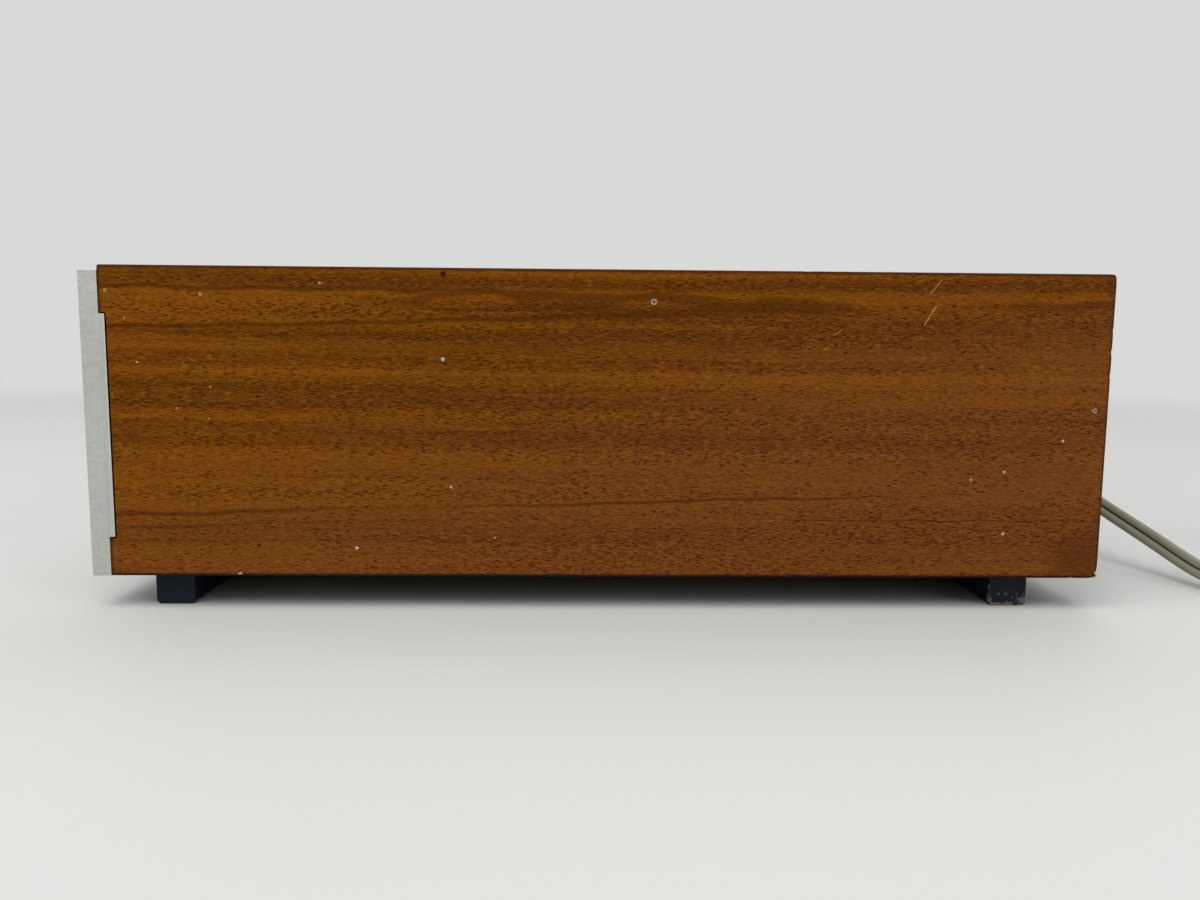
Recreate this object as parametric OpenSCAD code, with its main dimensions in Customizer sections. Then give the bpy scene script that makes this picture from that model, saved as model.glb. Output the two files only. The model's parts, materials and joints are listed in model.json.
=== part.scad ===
// Slim stereo amplifier in a veneered wooden cabinet, with dials, push keys and a flat twin mains cord.
// Millimetres. +Z is up, the front faces -Y, and the origin is the middle of the underside of the feet.

/* [Cabinet] */
// Width over the two side boards
body_w = 380; // [350:2:440]
// Depth of the side boards
wood_d = 260; // [250:2:320]
// Height of the side boards
wood_h = 80; // [74:1:100]
// Thickness of a side board
side_t = 12; // [9:0.5:14]
// Thickness of the top board and the rear batten
top_t = 12; // [9:0.5:15]
// Thickness of the bottom board
bottom_t = 10; // [8:0.5:13]
// Rounding of the side boards' outer corners
edge_r = 1; // [0.5:0.1:3]
// Depth of the batten that closes the top at the back
batten_d = 22; // [21.6:0.2:32]

/* [Vent] */
// Clear depth of the vent between top board and batten
vent_d = 60; // [44:1:80]
// Thickness of the vent grille
vent_t = 2; // [1:0.1:3]
// Width of the ledge that carries the grille
vent_ledge = 4; // [2:0.1:6]
// Gap between the grille and the boards round it
vent_gap = 0.3; // [0.1:0.05:0.6]
// Width of a vent slot
slot_w = 4; // [2:0.1:5]
// Spacing of the vent slots
slot_pitch = 9; // [7:0.2:14]
// Solid rim left round the slots
slot_rim = 10; // [8:0.2:14]
// Bridge between the two rows of slots
slot_bridge = 6; // [3:0.2:12]

/* [Feet] */
// Height of a foot rail
foot_h = 9; // [6:0.5:20]
// Depth of a foot rail
foot_d = 10.2; // [9:0.1:14]
// Distance from the cabinet's side to the end of a rail
foot_inset = 5.5; // [0:0.5:20]
// Middle of the front rail behind the side board's front edge
foot_front = 14.1; // [8:0.1:24]
// Middle of the rear rail before the side board's rear edge
foot_rear = 21.4; // [8:0.1:32]
// Bevel along the lower edges of a rail
foot_bevel = 0.9; // [0.4:0.1:2]
// Radius of a rail screw's head
rail_screw_head_r = 2.6; // [2:0.1:3]
// Radius of a rail screw's shank
rail_screw_r = 1.4; // [1:0.1:1.8]
// How deep a rail screw's head lies in its rail
rail_screw_sink = 0.4; // [0.2:0.1:1]
// Depth of a rail screw's tip in the bottom board
rail_screw_bite = 6; // [4:0.2:7]
// Spacing of the rail screws
rail_screw_pitch = 140; // [100:5:160]

/* [Chassis] */
// Thickness of the front plate, which lies in the side boards' notch
plate_t = 1.45; // [1:0.05:2.5]
// Thickness of the chassis tray
sheet_t = 1.2; // [0.8:0.1:2]
// Height of the tray's turned-up lips
lip_h = 10; // [8:0.5:12]
// Thickness of the rear panel
rear_t = 1.5; // [1:0.1:2.5]
// How far the rear panel stands in from the back edge of the cabinet
rear_recess = 20; // [19:0.2:21.4]
// Gap between sheet metal and wood
sheet_gap = 0.3; // [0.1:0.05:0.8]
// Radius of the rear panel's screws
screw_r = 1.5; // [1:0.1:2]
// Radius of the rear panel's screw heads
screw_head_r = 2.8; // [2.4:0.1:3.4]
// Height of the rear panel's screw heads
screw_head_h = 1.8; // [1:0.1:2.6]
// Distance from the side boards to the outer screws of the rear panel
screw_side = 16; // [8:0.5:20]
// How far the rear panel's screws stand in through the tray's lip
screw_tip = 2; // [1:0.2:6]
// Gap round a screw or a bolt
screw_gap = 0.15; // [0.05:0.05:0.4]
// Radius of a chassis bolt
bolt_r = 2; // [1.5:0.1:3]
// Radius of a chassis bolt's head
bolt_head_r = 4; // [3.6:0.1:5]
// Height of a chassis bolt's head
bolt_head_h = 3; // [2:0.1:4]
// How far a chassis bolt stands up through the tray
bolt_end = 3; // [1:0.2:5]
// Chassis bolts: distance from the side boards
bolt_side = 10; // [7:0.5:14]
// Chassis bolts: distance in from the front and rear edges of the cabinet
bolt_in = 44; // [38:1:60]

/* [Front panel] */
// Thickness of the front panel
panel_t = 4.8; // [3:0.1:6]
// How far the front panel's top stays below the cabinet's top
panel_drop = 1.3; // [0:0.1:3]

/* [Dials] */
// Diameter of a knob
knob_d = 28; // [24:0.5:32]
// How far a knob stands out from the front panel
knob_reach = 17.2; // [14:0.2:24]
// Gap between a knob and the front panel
knob_gap = 0.8; // [0.4:0.1:1.4]
// Thickness of metal in front of a knob's shaft hole
knob_cap = 4; // [2:0.2:6]
// Bevel round a knob's front
knob_bevel = 1.2; // [0.4:0.1:2]
// Width of a knob's pointer groove
pointer_w = 1.2; // [0.6:0.1:2]
// Depth of a knob's pointer groove
pointer_d = 0.6; // [0.3:0.1:0.8]
// Diameter of a control's shaft
shaft_d = 6; // [5:0.1:6.6]
// Clearance between a shaft and its bush, and between a shaft and its knob
shaft_gap = 0.05; // [0.02:0.01:0.09]
// Diameter of a control's threaded bush
bush_d = 9.5; // [8.6:0.1:10.5]
// Clearance round a bush
bush_gap = 0.15; // [0.05:0.05:0.3]
// Width of a control's nut across its flats
nut_af = 13; // [12:0.2:14]
// Thickness of a control's nut
nut_t = 2; // [1.4:0.1:2.6]
// How far a bush stands out of its nut
bush_end = 0.8; // [0.4:0.1:1.2]
// Gap between a nut and the recess in the knob over it
recess_gap = 1.5; // [0.6:0.1:2]
// Diameter of a tone, balance or volume control
control_d = 24; // [18:0.5:28]
// Depth of a tone, balance or volume control
control_l = 11; // [9:0.5:16]
// Diameter of the source switch
source_d = 32; // [26:0.5:38]
// Depth of the source switch
source_l = 18; // [12:0.5:22]
// Wall left behind a shaft's blind end
control_wall = 2.5; // [1.5:0.1:4]
// Distance from the side boards to the first and last piece of the front row
row_side = 8; // [4:0.5:14]

/* [Keys] */
// Width of a push key
key_w = 13; // [9:0.2:15]
// Height of a push key
key_h = 8; // [6:0.2:12]
// How far a push key stands out from the front panel
key_reach = 6; // [5:0.2:8]
// Travel of a push key
key_travel = 3.5; // [2:0.1:4]
// Clearance round a push key
key_gap = 0.35; // [0.2:0.05:0.6]
// Spacing of the push keys
key_pitch = 18; // [16.5:0.1:19]
// Length of a key's body behind the front plate
key_tail = 6; // [4:0.2:10]
// Width of a key's stem
stem_w = 4; // [3:0.1:5]
// Length of a key's stem
stem_l = 8; // [5:0.2:10]
// Wall of the key switches
bank_wall = 3; // [2:0.1:4]
// Diameter of the power key
power_d = 12; // [9:0.2:14]

/* [Lamp and headphones] */
// Diameter of the pilot lens
pilot_d = 6; // [4:0.2:8]
// How far the pilot lens stands out
pilot_reach = 1; // [0.4:0.1:2]
// Clearance round the pilot lens
pilot_gap = 0.2; // [0.1:0.05:0.4]
// Diameter of the lamp holder
lamp_d = 9; // [8.6:0.2:11]
// Length of the lamp holder
lamp_l = 16; // [10:0.5:24]
// Bore of the headphone jack
jack_bore_d = 6.5; // [6.4:0.02:6.7]
// Diameter of the jack's bush
jack_bush_d = 9.5; // [8.6:0.1:11]
// Width of the jack's body
jack_w = 15; // [12:0.2:18]
// Length of the jack's body
jack_l = 28; // [24:0.5:36]
// Depth of the jack's bore
jack_depth = 31; // [28:0.5:32]
// Diameter of the jack's nut
jack_nut_d = 14; // [12.4:0.2:16]

/* [Power supply] */
// Transformer's middle from the left side board
trans_side = 60; // [52:1:66]
// Transformer's middle before the rear panel
trans_in = 86; // [80:1:100]
// Width of the transformer's core
core_w = 66; // [58:1:70]
// Thickness of the core's stack
core_d = 30; // [22:1:36]
// Width of the core's outer limbs and yokes
limb_w = 11; // [8:0.5:12]
// Space between the transformer's clamp and the top board
core_head = 3.6; // [2:0.2:8]
// How far the winding stands out of the core
winding_out = 9; // [6:0.5:12]
// Clearance between winding, core and clamp
core_gap = 0.3; // [0.1:0.05:0.5]
// Thickness of the transformer's clamp
clamp_t = 1.2; // [0.8:0.1:2]
// Width of the transformer's clamp
clamp_w = 20; // [12:0.5:22]
// Length of the clamp's feet
clamp_foot = 9; // [6:0.5:10]
// Diameter of a filter capacitor
can_d = 30; // [24:0.5:34]
// Spacing of the two filter capacitors
can_pitch = 36; // [35:0.5:40]
// Middle of the filter capacitors from the middle of the cabinet
can_x = -42; // [-46:1:-38]
// Filter capacitors' middle before the rear panel
can_in = 50; // [40:1:60]
// Space between the filter capacitors and the top
can_head = 8; // [4:0.5:16]

/* [Circuit] */
// Width of the amplifier board
board_w = 180; // [150:2:190]
// Depth of the amplifier board
board_d = 96; // [80:1:100]
// Thickness of the amplifier board
board_t = 1.6; // [1:0.1:2.4]
// Distance from the amplifier board to the right side board
board_side = 48; // [30:1:60]
// Distance from the front plate to the amplifier board
board_in = 46; // [44:1:56]
// Height of the board's standoffs
standoff_h = 8; // [5:0.5:12]
// Radius of a standoff
standoff_r = 3; // [2:0.1:3.6]
// Distance from a standoff's middle to the board's edges
standoff_in = 6; // [4:0.2:8]
// Radius of a small capacitor
part_r = 4; // [3:0.1:5]
// Height of a small capacitor
part_h = 14; // [8:0.5:18]
// Length of a resistor
resistor_l = 9; // [6:0.2:12]
// Thickness of a resistor
resistor_t = 3; // [2:0.1:4]
// Spacing of the parts on the board
part_pitch = 20; // [16:0.5:20]
// Width of the heat sink
sink_w = 140; // [120:2:150]
// Distance from the heat sink to the right side board
sink_side = 18; // [15:0.5:30]
// Depth of the heat sink's fins
fin_d = 22; // [12:0.5:24]
// Thickness of the heat sink's back and fins
fin_t = 3; // [2:0.1:4]
// Spacing of the fins
fin_pitch = 10; // [7:0.5:14]
// Space between the heat sink and the top
sink_head = 10; // [6:0.5:20]
// Distance from the rear panel to the fins
sink_in = 18; // [16:0.5:24]
// Radius of an output transistor's can
device_r = 8; // [6:0.2:9]
// Height of an output transistor's can
device_h = 7; // [5:0.2:9]
// Spacing of the output transistors
device_pitch = 30; // [24:0.5:32]

/* [Sockets] */
// Bore of an input socket
din_bore_d = 13.6; // [13.4:0.05:14]
// Depth of a socket's bore
din_depth = 8; // [6:0.2:9]
// Diameter of a socket's body
din_d = 18; // [16.4:0.2:19]
// Length of a socket's body in the cabinet
din_l = 10.5; // [9.6:0.1:13]
// Diameter of a socket's flange
din_flange_d = 24; // [21:0.2:25]
// Thickness of a socket's flange
din_flange_t = 1.4; // [1:0.1:2]
// Clearance round a socket's body
din_gap = 0.2; // [0.1:0.05:0.4]
// Circle of the input contacts
din_pin_ring = 7.5; // [6:0.1:9]
// Radius of a contact hole
din_pin_r = 0.8; // [0.6:0.05:1]
// Depth of a contact hole
din_pin_depth = 2; // [1:0.1:2.4]
// Spacing of the sockets
din_pitch = 28; // [26:0.5:29]
// Middle of the row of inputs from the left side board
input_side = 70; // [62:1:84]
// Middle of the pair of speaker sockets from the right side board
speaker_side = 58; // [40:1:70]
// Bore of a speaker socket
speaker_bore_d = 12.6; // [12.4:0.05:13]
// Place of the fuse from the middle
fuse_x = 5; // [2:1:10]
// Radius of the fuse holder's body
fuse_r = 6; // [5.4:0.1:7]
// Radius of the fuse holder's flange
fuse_flange_r = 8; // [7.6:0.1:9]
// Thickness of the fuse holder's flange
fuse_flange_t = 2; // [1:0.1:3]
// Length of the fuse holder in the cabinet
fuse_l = 30; // [26:0.5:32]
// Radius of the fuse cap's stem
fuse_stem_r = 4; // [3:0.1:4.6]
// Length of the fuse cap's stem
fuse_stem_l = 22; // [16:0.5:24]
// Radius of the fuse cap's grip
fuse_cap_r = 6.5; // [5:0.1:7.4]
// Length of the fuse cap's grip
fuse_cap_l = 6; // [4:0.2:8]
// Gap between the fuse cap and its flange
fuse_cap_gap = 0.4; // [0.3:0.05:0.8]

/* [Mains cord] */
// Width of the flat twin cord
cord_w = 5.2; // [4.8:0.1:5.4]
// Thickness of the flat twin cord
cord_t = 2.6; // [2.2:0.1:2.8]
// Radius of the strain relief at the panel
relief_r1 = 5.8; // [5.4:0.1:7]
// Radius of the strain relief at its tip
relief_r2 = 3.4; // [3:0.1:4.4]
// Length of the strain relief outside the panel
relief_l = 20; // [20:0.2:21]
// Radius of the strain relief in the panel's hole
relief_neck_r = 4.6; // [4:0.1:5]
// Radius of the strain relief's flange inside the panel
relief_flange_r = 6.5; // [5.6:0.1:8]
// Thickness of the strain relief's flange
relief_flange_t = 2; // [1:0.1:4]
// Thickness of the tie round the coil
tie_t = 0.7; // [0.4:0.05:1]
// Width of the tie
tie_w = 6; // [4:0.2:8]
// Gap between the tie and the coil
tie_gap = 0.6; // [0.5:0.05:1]
// Length of the plug's body
plug_l = 36; // [30:0.5:40]
// Width of the plug's body
plug_w = 35; // [32:0.5:38]
// Thickness of the plug's body
plug_t = 14; // [13:0.1:15]
// Width of the plug's neck at the cord
plug_neck_w = 12; // [10:0.2:16]
// Length of the plug's neck
plug_neck_l = 6; // [4:0.2:9]
// Length of the plug's slanted shoulders
plug_shoulder_l = 11; // [6:0.5:14]
// Diameter of a plug pin
pin_d = 4; // [3.9:0.02:4.1]
// Length of a plug pin
pin_l = 19; // [18:0.1:20]
// Spacing of the plug pins
pin_pitch = 18.6; // [17.5:0.1:19.2]

/* [Hidden] */
$fn = 48;
// Overlap that keeps a cut clear of the face it opens
eps = 1;

// Heights
deck_z = foot_h + bottom_t;
tray_z = deck_z + sheet_t;
ceil_z = foot_h + wood_h - top_t;
roof_z = foot_h + wood_h;
row_z = (deck_z + ceil_z) / 2;

// Depths, from the front to the back
knob_front = -(knob_reach + panel_t + wood_d) / 2;
panel_face = knob_front + knob_reach;
wood_front = panel_face + panel_t;
plate_back = wood_front + plate_t;
wood_rear = wood_front + wood_d;
rear_face = wood_rear - rear_recess;
rear_in = rear_face - rear_t;
batten_front = wood_rear - batten_d;
top_rear = batten_front - vent_d;
rail_front_y = wood_front + foot_front;
rail_rear_y = wood_rear - foot_rear;

// Widths
inner_w = body_w - 2 * side_t;
sheet_w = inner_w - 2 * sheet_gap;
rail_w = body_w - 2 * foot_inset;

// The front row: power key, pilot lens, source dial, keys, four dials and the jack, spread evenly
power_w = power_d + 2 * (key_gap + bank_wall);
keys_w = 2 * key_pitch + key_w;
row_ws = [power_w, lamp_d, knob_d, keys_w, knob_d, knob_d, knob_d, knob_d, jack_w];
function total(list, n) = n == 0 ? 0 : list[n - 1] + total(list, n - 1);
row_gap = (inner_w - 2 * row_side - total(row_ws, len(row_ws))) / (len(row_ws) - 1);
row_xs = [for (i = [0 : len(row_ws) - 1])
    row_side - inner_w / 2 + total(row_ws, i) + row_ws[i] / 2 + i * row_gap];
power_x = row_xs[0];
pilot_x = row_xs[1];
key_x = row_xs[3];
jack_x = row_xs[8];
dial_xs = [row_xs[2], row_xs[4], row_xs[5], row_xs[6], row_xs[7]];
key_xs = [key_x - key_pitch, key_x, key_x + key_pitch];

// Dials, keys and their holes
bush_front = panel_face - nut_t - bush_end;
recess_r = nut_af / sqrt(3) + recess_gap;
key_back = plate_back + key_tail;
bank_l = key_tail + stem_l + key_travel + bank_wall;

// Transformer
core_h = ceil_z - tray_z - core_head - clamp_t - core_gap;
window_h = core_h - 2 * limb_w;
window_w = (core_w - 4 * limb_w) / 2;
trans_x = trans_side - inner_w / 2;
trans_y = rear_in - trans_in;

// Board and heat sink
board_x = (inner_w - board_w) / 2 - board_side;
board_front = plate_back + board_in;
board_z = tray_z + standoff_h;
sink_x = (inner_w - sink_w) / 2 - sink_side;
sink_rear = rear_in - sink_in;
sink_front = sink_rear - fin_d - fin_t;

// Sockets
input_xs = [for (i = [0 : 3]) input_side - inner_w / 2 + (i - 1.5) * din_pitch];
speaker_xs = [for (i = [0 : 1]) inner_w / 2 - speaker_side + (i - 0.5) * din_pitch];

// Route of the cord from the strain relief to the coil, and from the coil to the plug
run_points = [[40, 141, 46], [40, 147, 46], [41.5, 154, 45.5], [48, 163.5, 43], [58, 169, 39.5],
    [72, 171, 35], [90, 172, 29.6], [110, 173.5, 23.2], [128, 176, 17.8], [148, 180.5, 11.4],
    [164, 185, 5.7], [173, 187.8, 4.1]];
tail_points = [[164, 261.8, 9.4], [154, 261.8, 8.3], [146, 261.8, 7.2]];
plug_at = [138, 261.8, 7];

// Coil of spare cord, lying flat beside the cabinet
coil_at = [176, 226];
coil_r0 = 36;
coil_pitch = 3.8;
coil_z = 3.6;
coil_layer = 6;
coil_from = -74;
coil_to = 90;
coil_loops = 6;
coil_in = 3.25;
coil_climb = 0.25;
coil_rings = 24;
coil_turns = coil_loops + (coil_to - coil_from) / 360;

// A block between two opposite corners
module block(from, to) {
    translate(from) cube(to - from);
}

// A block that is centred on x and runs between two y and two z values
module slab(x, w, y0, y1, z0, z1) {
    block([x - w / 2, y0, z0], [x + w / 2, y1, z1]);
}

// A rod along Y
module rod(x, z, r, y0, y1) {
    translate([x, y0, z]) rotate([-90, 0, 0]) cylinder(r = r, h = y1 - y0);
}

// An upright rod
module post(x, y, r, z0, z1) {
    translate([x, y, z0]) cylinder(r = r, h = z1 - z0);
}

// A rectangle with round corners
module round_rect(w, h, r) {
    translate([r, 0]) square([w - 2 * r, h]);
    translate([0, r]) square([w, h - 2 * r]);
    for (x = [r, w - r], y = [r, h - r]) translate([x, y]) circle(r);
}

// Cabinet

// A side board with its front notch for the chassis plate, its outer face at x
module side_board(x) {
    color("peru") difference() {
        translate([x, wood_front, foot_h]) rotate([90, 0, 90])
            linear_extrude(side_t) round_rect(wood_d, wood_h, edge_r);
        block([x - eps, wood_front - eps, deck_z], [x + side_t + eps, plate_back, ceil_z]);
    }
}

module cabinet_side_left() side_board(-body_w / 2);

module cabinet_side_right() side_board(body_w / 2 - side_t);

module cabinet_top() {
    color("peru") difference() {
        slab(0, inner_w, wood_front, top_rear, ceil_z, roof_z);
        slab(0, inner_w + eps, top_rear - vent_ledge, top_rear + eps, roof_z - vent_t, roof_z + eps);
    }
}

module top_rear_batten() {
    color("peru") difference() {
        slab(0, inner_w, batten_front, wood_rear, ceil_z, roof_z);
        slab(0, inner_w + eps, batten_front - eps, batten_front + vent_ledge, roof_z - vent_t, roof_z + eps);
    }
}

// The chassis bolts, widened by a gap where they pass through a piece
module bolt_set(gap) {
    head_z = foot_h + bolt_head_h + gap;
    bolt_x = inner_w / 2 - bolt_side;
    for (x = [-bolt_x, bolt_x], y = [wood_front + bolt_in, wood_rear - bolt_in]) {
        post(x, y, bolt_head_r + gap, foot_h - 2 * gap, head_z);
        post(x, y, bolt_r + gap, foot_h, tray_z + bolt_end);
    }
}

// The countersunk rail screws, widened by a gap where they pass through a piece
module rail_screw_set(gap) {
    head_r = rail_screw_head_r + gap;
    shank_r = rail_screw_r + gap;
    for (x = [-rail_screw_pitch, 0, rail_screw_pitch], y = [rail_front_y, rail_rear_y]) {
        translate([x, y, rail_screw_sink - gap]) cylinder(r1 = head_r, r2 = shank_r, h = head_r - shank_r);
        post(x, y, shank_r, rail_screw_sink - gap, foot_h + rail_screw_bite + gap);
    }
}

module cabinet_bottom() {
    color("saddlebrown") difference() {
        slab(0, inner_w, wood_front, wood_rear, foot_h, deck_z);
        bolt_set(screw_gap);
        rail_screw_set(screw_gap);
    }
}

module vent_grille() {
    depth = vent_d + 2 * vent_ledge - 2 * vent_gap;
    width = inner_w - 2 * vent_gap;
    front = top_rear - vent_ledge + vent_gap;
    slot_l = (depth - 2 * slot_rim - slot_bridge) / 2;
    count = floor((width - 2 * slot_rim - slot_w) / slot_pitch / 2);
    color("dimgray") difference() {
        slab(0, width, front, front + depth, roof_z - vent_t, roof_z);
        for (i = [-count : count], y = [front + slot_rim, front + slot_rim + slot_l + slot_bridge])
            slab(i * slot_pitch, slot_w, y, y + slot_l, roof_z - vent_t - eps, roof_z + eps);
    }
}

// A black runner under the cabinet, its lower edges bevelled
module foot_rail(y) {
    half = foot_d / 2;
    b = foot_bevel;
    profile = [[-half + b, 0], [half - b, 0], [half, b], [half, foot_h], [-half, foot_h], [-half, b]];
    color("#1d1d22") difference() {
        translate([-rail_w / 2, y, 0]) rotate([90, 0, 90]) linear_extrude(rail_w) polygon(profile);
        rail_screw_set(screw_gap);
        for (x = [-rail_screw_pitch, 0, rail_screw_pitch])
            post(x, y, rail_screw_head_r + screw_gap, -eps, rail_screw_sink);
    }
}

module front_foot_rail() foot_rail(rail_front_y);

module rear_foot_rail() foot_rail(rail_rear_y);

module foot_rail_screws() color("gray") rail_screw_set(0);

// Chassis

module chassis_base() {
    color("lightgray") difference() {
        union() {
            slab(0, sheet_w, plate_back, rear_in, deck_z, tray_z);
            slab(0, sheet_w, plate_back, plate_back + sheet_t, deck_z, deck_z + lip_h);
            slab(0, sheet_w, rear_in - sheet_t, rear_in, deck_z, deck_z + lip_h);
        }
        bolt_set(screw_gap);
        rear_screw_set(screw_gap);
    }
}

// Round holes for the controls, keys, lens and jack in the panel and the plate behind it
module panel_holes(y0, y1) {
    for (x = dial_xs) rod(x, row_z, bush_d / 2 + bush_gap, y0, y1);
    for (x = key_xs)
        slab(x, key_w + 2 * key_gap, y0, y1, row_z - key_h / 2 - key_gap, row_z + key_h / 2 + key_gap);
    rod(power_x, row_z, power_d / 2 + key_gap, y0, y1);
    rod(pilot_x, row_z, pilot_d / 2 + pilot_gap, y0, y1);
    rod(jack_x, row_z, jack_bush_d / 2 + bush_gap, y0, y1);
}

module chassis_front() {
    color("gainsboro") difference() {
        slab(0, body_w, wood_front, plate_back, deck_z + sheet_gap, ceil_z - sheet_gap);
        panel_holes(wood_front - eps, plate_back + eps);
    }
}

// The rear panel's screws, widened by a gap where they pass through a piece
module rear_screw_set(gap) {
    outer = inner_w / 2 - screw_side;
    z = deck_z + lip_h / 2;
    for (x = [-outer, -outer / 3, outer / 3, outer]) {
        rod(x, z, screw_r + gap, rear_in - sheet_t - screw_tip - gap, rear_face + eps / 2);
        rod(x, z, screw_head_r + gap, rear_face, rear_face + screw_head_h + gap);
    }
}

module rear_panel() {
    color("#26262a") difference() {
        slab(0, sheet_w, rear_in, rear_face, deck_z, ceil_z - sheet_gap);
        for (x = concat(input_xs, speaker_xs)) rod(x, row_z, din_d / 2 + din_gap, rear_in - eps, rear_face + eps);
        rod(fuse_x, row_z, fuse_r + din_gap, rear_in - eps, rear_face + eps);
        rod(run_points[0].x, run_points[0].z, relief_neck_r + din_gap, rear_in - eps, rear_face + eps);
        rear_screw_set(screw_gap);
    }
}

module rear_panel_screws() color("silver") rear_screw_set(0);

module chassis_bolts() color("gray") bolt_set(0);

module front_panel() {
    color("silver") difference() {
        slab(0, body_w, panel_face, wood_front, foot_h, roof_z - panel_drop);
        panel_holes(panel_face - eps, wood_front + eps);
    }
}

// Dials

// A turned knob: bevelled front, recess over the nut, blind shaft hole and pointer groove
module knob(x) {
    r = knob_d / 2;
    back = panel_face - knob_gap;
    color("silver") difference() {
        union() {
            rod(x, row_z, r, knob_front + knob_bevel, back);
            translate([x, knob_front, row_z]) rotate([-90, 0, 0])
                cylinder(r1 = r - knob_bevel, r2 = r, h = knob_bevel);
        }
        rod(x, row_z, recess_r, bush_front - recess_gap, back + eps);
        rod(x, row_z, shaft_d / 2 + shaft_gap, knob_front + knob_cap, back);
        slab(x, pointer_w, knob_front - eps, knob_front + pointer_d, row_z + r / 3, row_z + r + eps);
    }
}

// A shaft from its knob to the blind end of its control, which is l deep
module shaft(x, l) {
    color("lightgray") rod(x, row_z, shaft_d / 2, knob_front + knob_cap + shaft_gap,
        plate_back + l - control_wall - shaft_gap);
}

// A control's round body behind the plate and its bush through plate and panel
module control(x, d, l) {
    color("goldenrod") difference() {
        union() {
            rod(x, row_z, d / 2, plate_back, plate_back + l);
            rod(x, row_z, bush_d / 2, bush_front, plate_back + l / 2);
        }
        rod(x, row_z, shaft_d / 2 + shaft_gap, bush_front - eps, plate_back + l - control_wall);
    }
}

module source_knob() knob(dial_xs[0]);

module bass_knob() knob(dial_xs[1]);

module treble_knob() knob(dial_xs[2]);

module balance_knob() knob(dial_xs[3]);

module volume_knob() knob(dial_xs[4]);

module source_shaft() shaft(dial_xs[0], source_l);

module bass_shaft() shaft(dial_xs[1], control_l);

module treble_shaft() shaft(dial_xs[2], control_l);

module balance_shaft() shaft(dial_xs[3], control_l);

module volume_shaft() shaft(dial_xs[4], control_l);

module source_switch() control(dial_xs[0], source_d, source_l);

module bass_control() control(dial_xs[1], control_d, control_l);

module treble_control() control(dial_xs[2], control_d, control_l);

module balance_control() control(dial_xs[3], control_d, control_l);

module volume_control() control(dial_xs[4], control_d, control_l);

// A hexagon nut on each control's bush and a round one on the jack's
module panel_nuts() {
    color("lightgray") {
        for (x = dial_xs) difference() {
            translate([x, panel_face - nut_t, row_z]) rotate([-90, 0, 0])
                cylinder(r = nut_af / sqrt(3), h = nut_t, $fn = 6);
            rod(x, row_z, bush_d / 2 + bush_gap / 3, panel_face - nut_t - eps, panel_face + eps);
        }
        difference() {
            rod(jack_x, row_z, jack_nut_d / 2, panel_face - nut_t, panel_face);
            rod(jack_x, row_z, jack_bush_d / 2 + bush_gap / 3, panel_face - nut_t - eps, panel_face + eps);
        }
    }
}

// Keys

// A push key's stem, widened by a gap where it slides
module key_stem(x, gap, y1) {
    slab(x, stem_w + 2 * gap, key_back - eps, y1, row_z - stem_w / 2 - gap, row_z + stem_w / 2 + gap);
}

// An oblong push key and its stem
module push_key(x) {
    color("gainsboro") {
        slab(x, key_w, panel_face - key_reach, key_back, row_z - key_h / 2, row_z + key_h / 2);
        key_stem(x, 0, key_back + stem_l);
    }
}

module mono_button() push_key(key_xs[0]);

module loudness_button() push_key(key_xs[1]);

module filter_button() push_key(key_xs[2]);

module power_button() {
    color("gainsboro") {
        rod(power_x, row_z, power_d / 2, panel_face - key_reach, key_back);
        key_stem(power_x, 0, key_back + stem_l);
    }
}

// The housing behind the three oblong keys, with a guide for each key and its stem
module switch_bank() {
    w = keys_w + 2 * (key_gap + bank_wall);
    h = key_h / 2 + key_gap + bank_wall;
    color("#333333") difference() {
        slab(key_x, w, plate_back, plate_back + bank_l, row_z - h, row_z + h);
        for (x = key_xs) {
            slab(x, key_w + 2 * key_gap, plate_back - eps, key_back + key_travel + key_gap,
                row_z - key_h / 2 - key_gap, row_z + key_h / 2 + key_gap);
            key_stem(x, key_gap, key_back + stem_l + key_travel + key_gap);
        }
    }
}

module power_switch() {
    half = power_w / 2;
    color("#333333") difference() {
        slab(power_x, power_w, plate_back, plate_back + bank_l, row_z - half, row_z + half);
        rod(power_x, row_z, power_d / 2 + key_gap, plate_back - eps, key_back + key_travel + key_gap);
        key_stem(power_x, key_gap, key_back + stem_l + key_travel + key_gap);
    }
}

// Lamp and headphones

module pilot_lens() color("orangered") rod(pilot_x, row_z, pilot_d / 2, panel_face - pilot_reach, plate_back);

module pilot_lamp() color("ivory") rod(pilot_x, row_z, lamp_d / 2, plate_back, plate_back + lamp_l);

module headphone_jack() {
    front = panel_face - nut_t - bush_end;
    color("#333333") difference() {
        union() {
            slab(jack_x, jack_w, plate_back, plate_back + jack_l, row_z - jack_w / 2, row_z + jack_w / 2);
            rod(jack_x, row_z, jack_bush_d / 2, front, plate_back + jack_l / 2);
        }
        rod(jack_x, row_z, jack_bore_d / 2, front - eps, front + jack_depth);
    }
}

// Power supply

// The laminated core: three limbs and two yokes round two windows
module transformer_core() {
    z0 = tray_z + limb_w;
    color("#5a5a60") difference() {
        slab(trans_x, core_w, trans_y - core_d / 2, trans_y + core_d / 2, tray_z, tray_z + core_h);
        for (side = [-1, 1])
            slab(trans_x + side * (limb_w + window_w / 2), window_w, trans_y - core_d, trans_y + core_d,
                z0, z0 + window_h);
    }
}

// The taped winding round the middle limb
module transformer_bobbin() {
    z0 = tray_z + limb_w + core_gap;
    z1 = z0 + window_h - 2 * core_gap;
    out = core_d / 2 + winding_out;
    hole = core_d / 2 + core_gap;
    color("khaki") difference() {
        slab(trans_x, 2 * (limb_w + window_w - core_gap), trans_y - out, trans_y + out, z0, z1);
        slab(trans_x, 2 * (limb_w + core_gap), trans_y - hole, trans_y + hole, z0 - eps, z1 + eps);
    }
}

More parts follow.
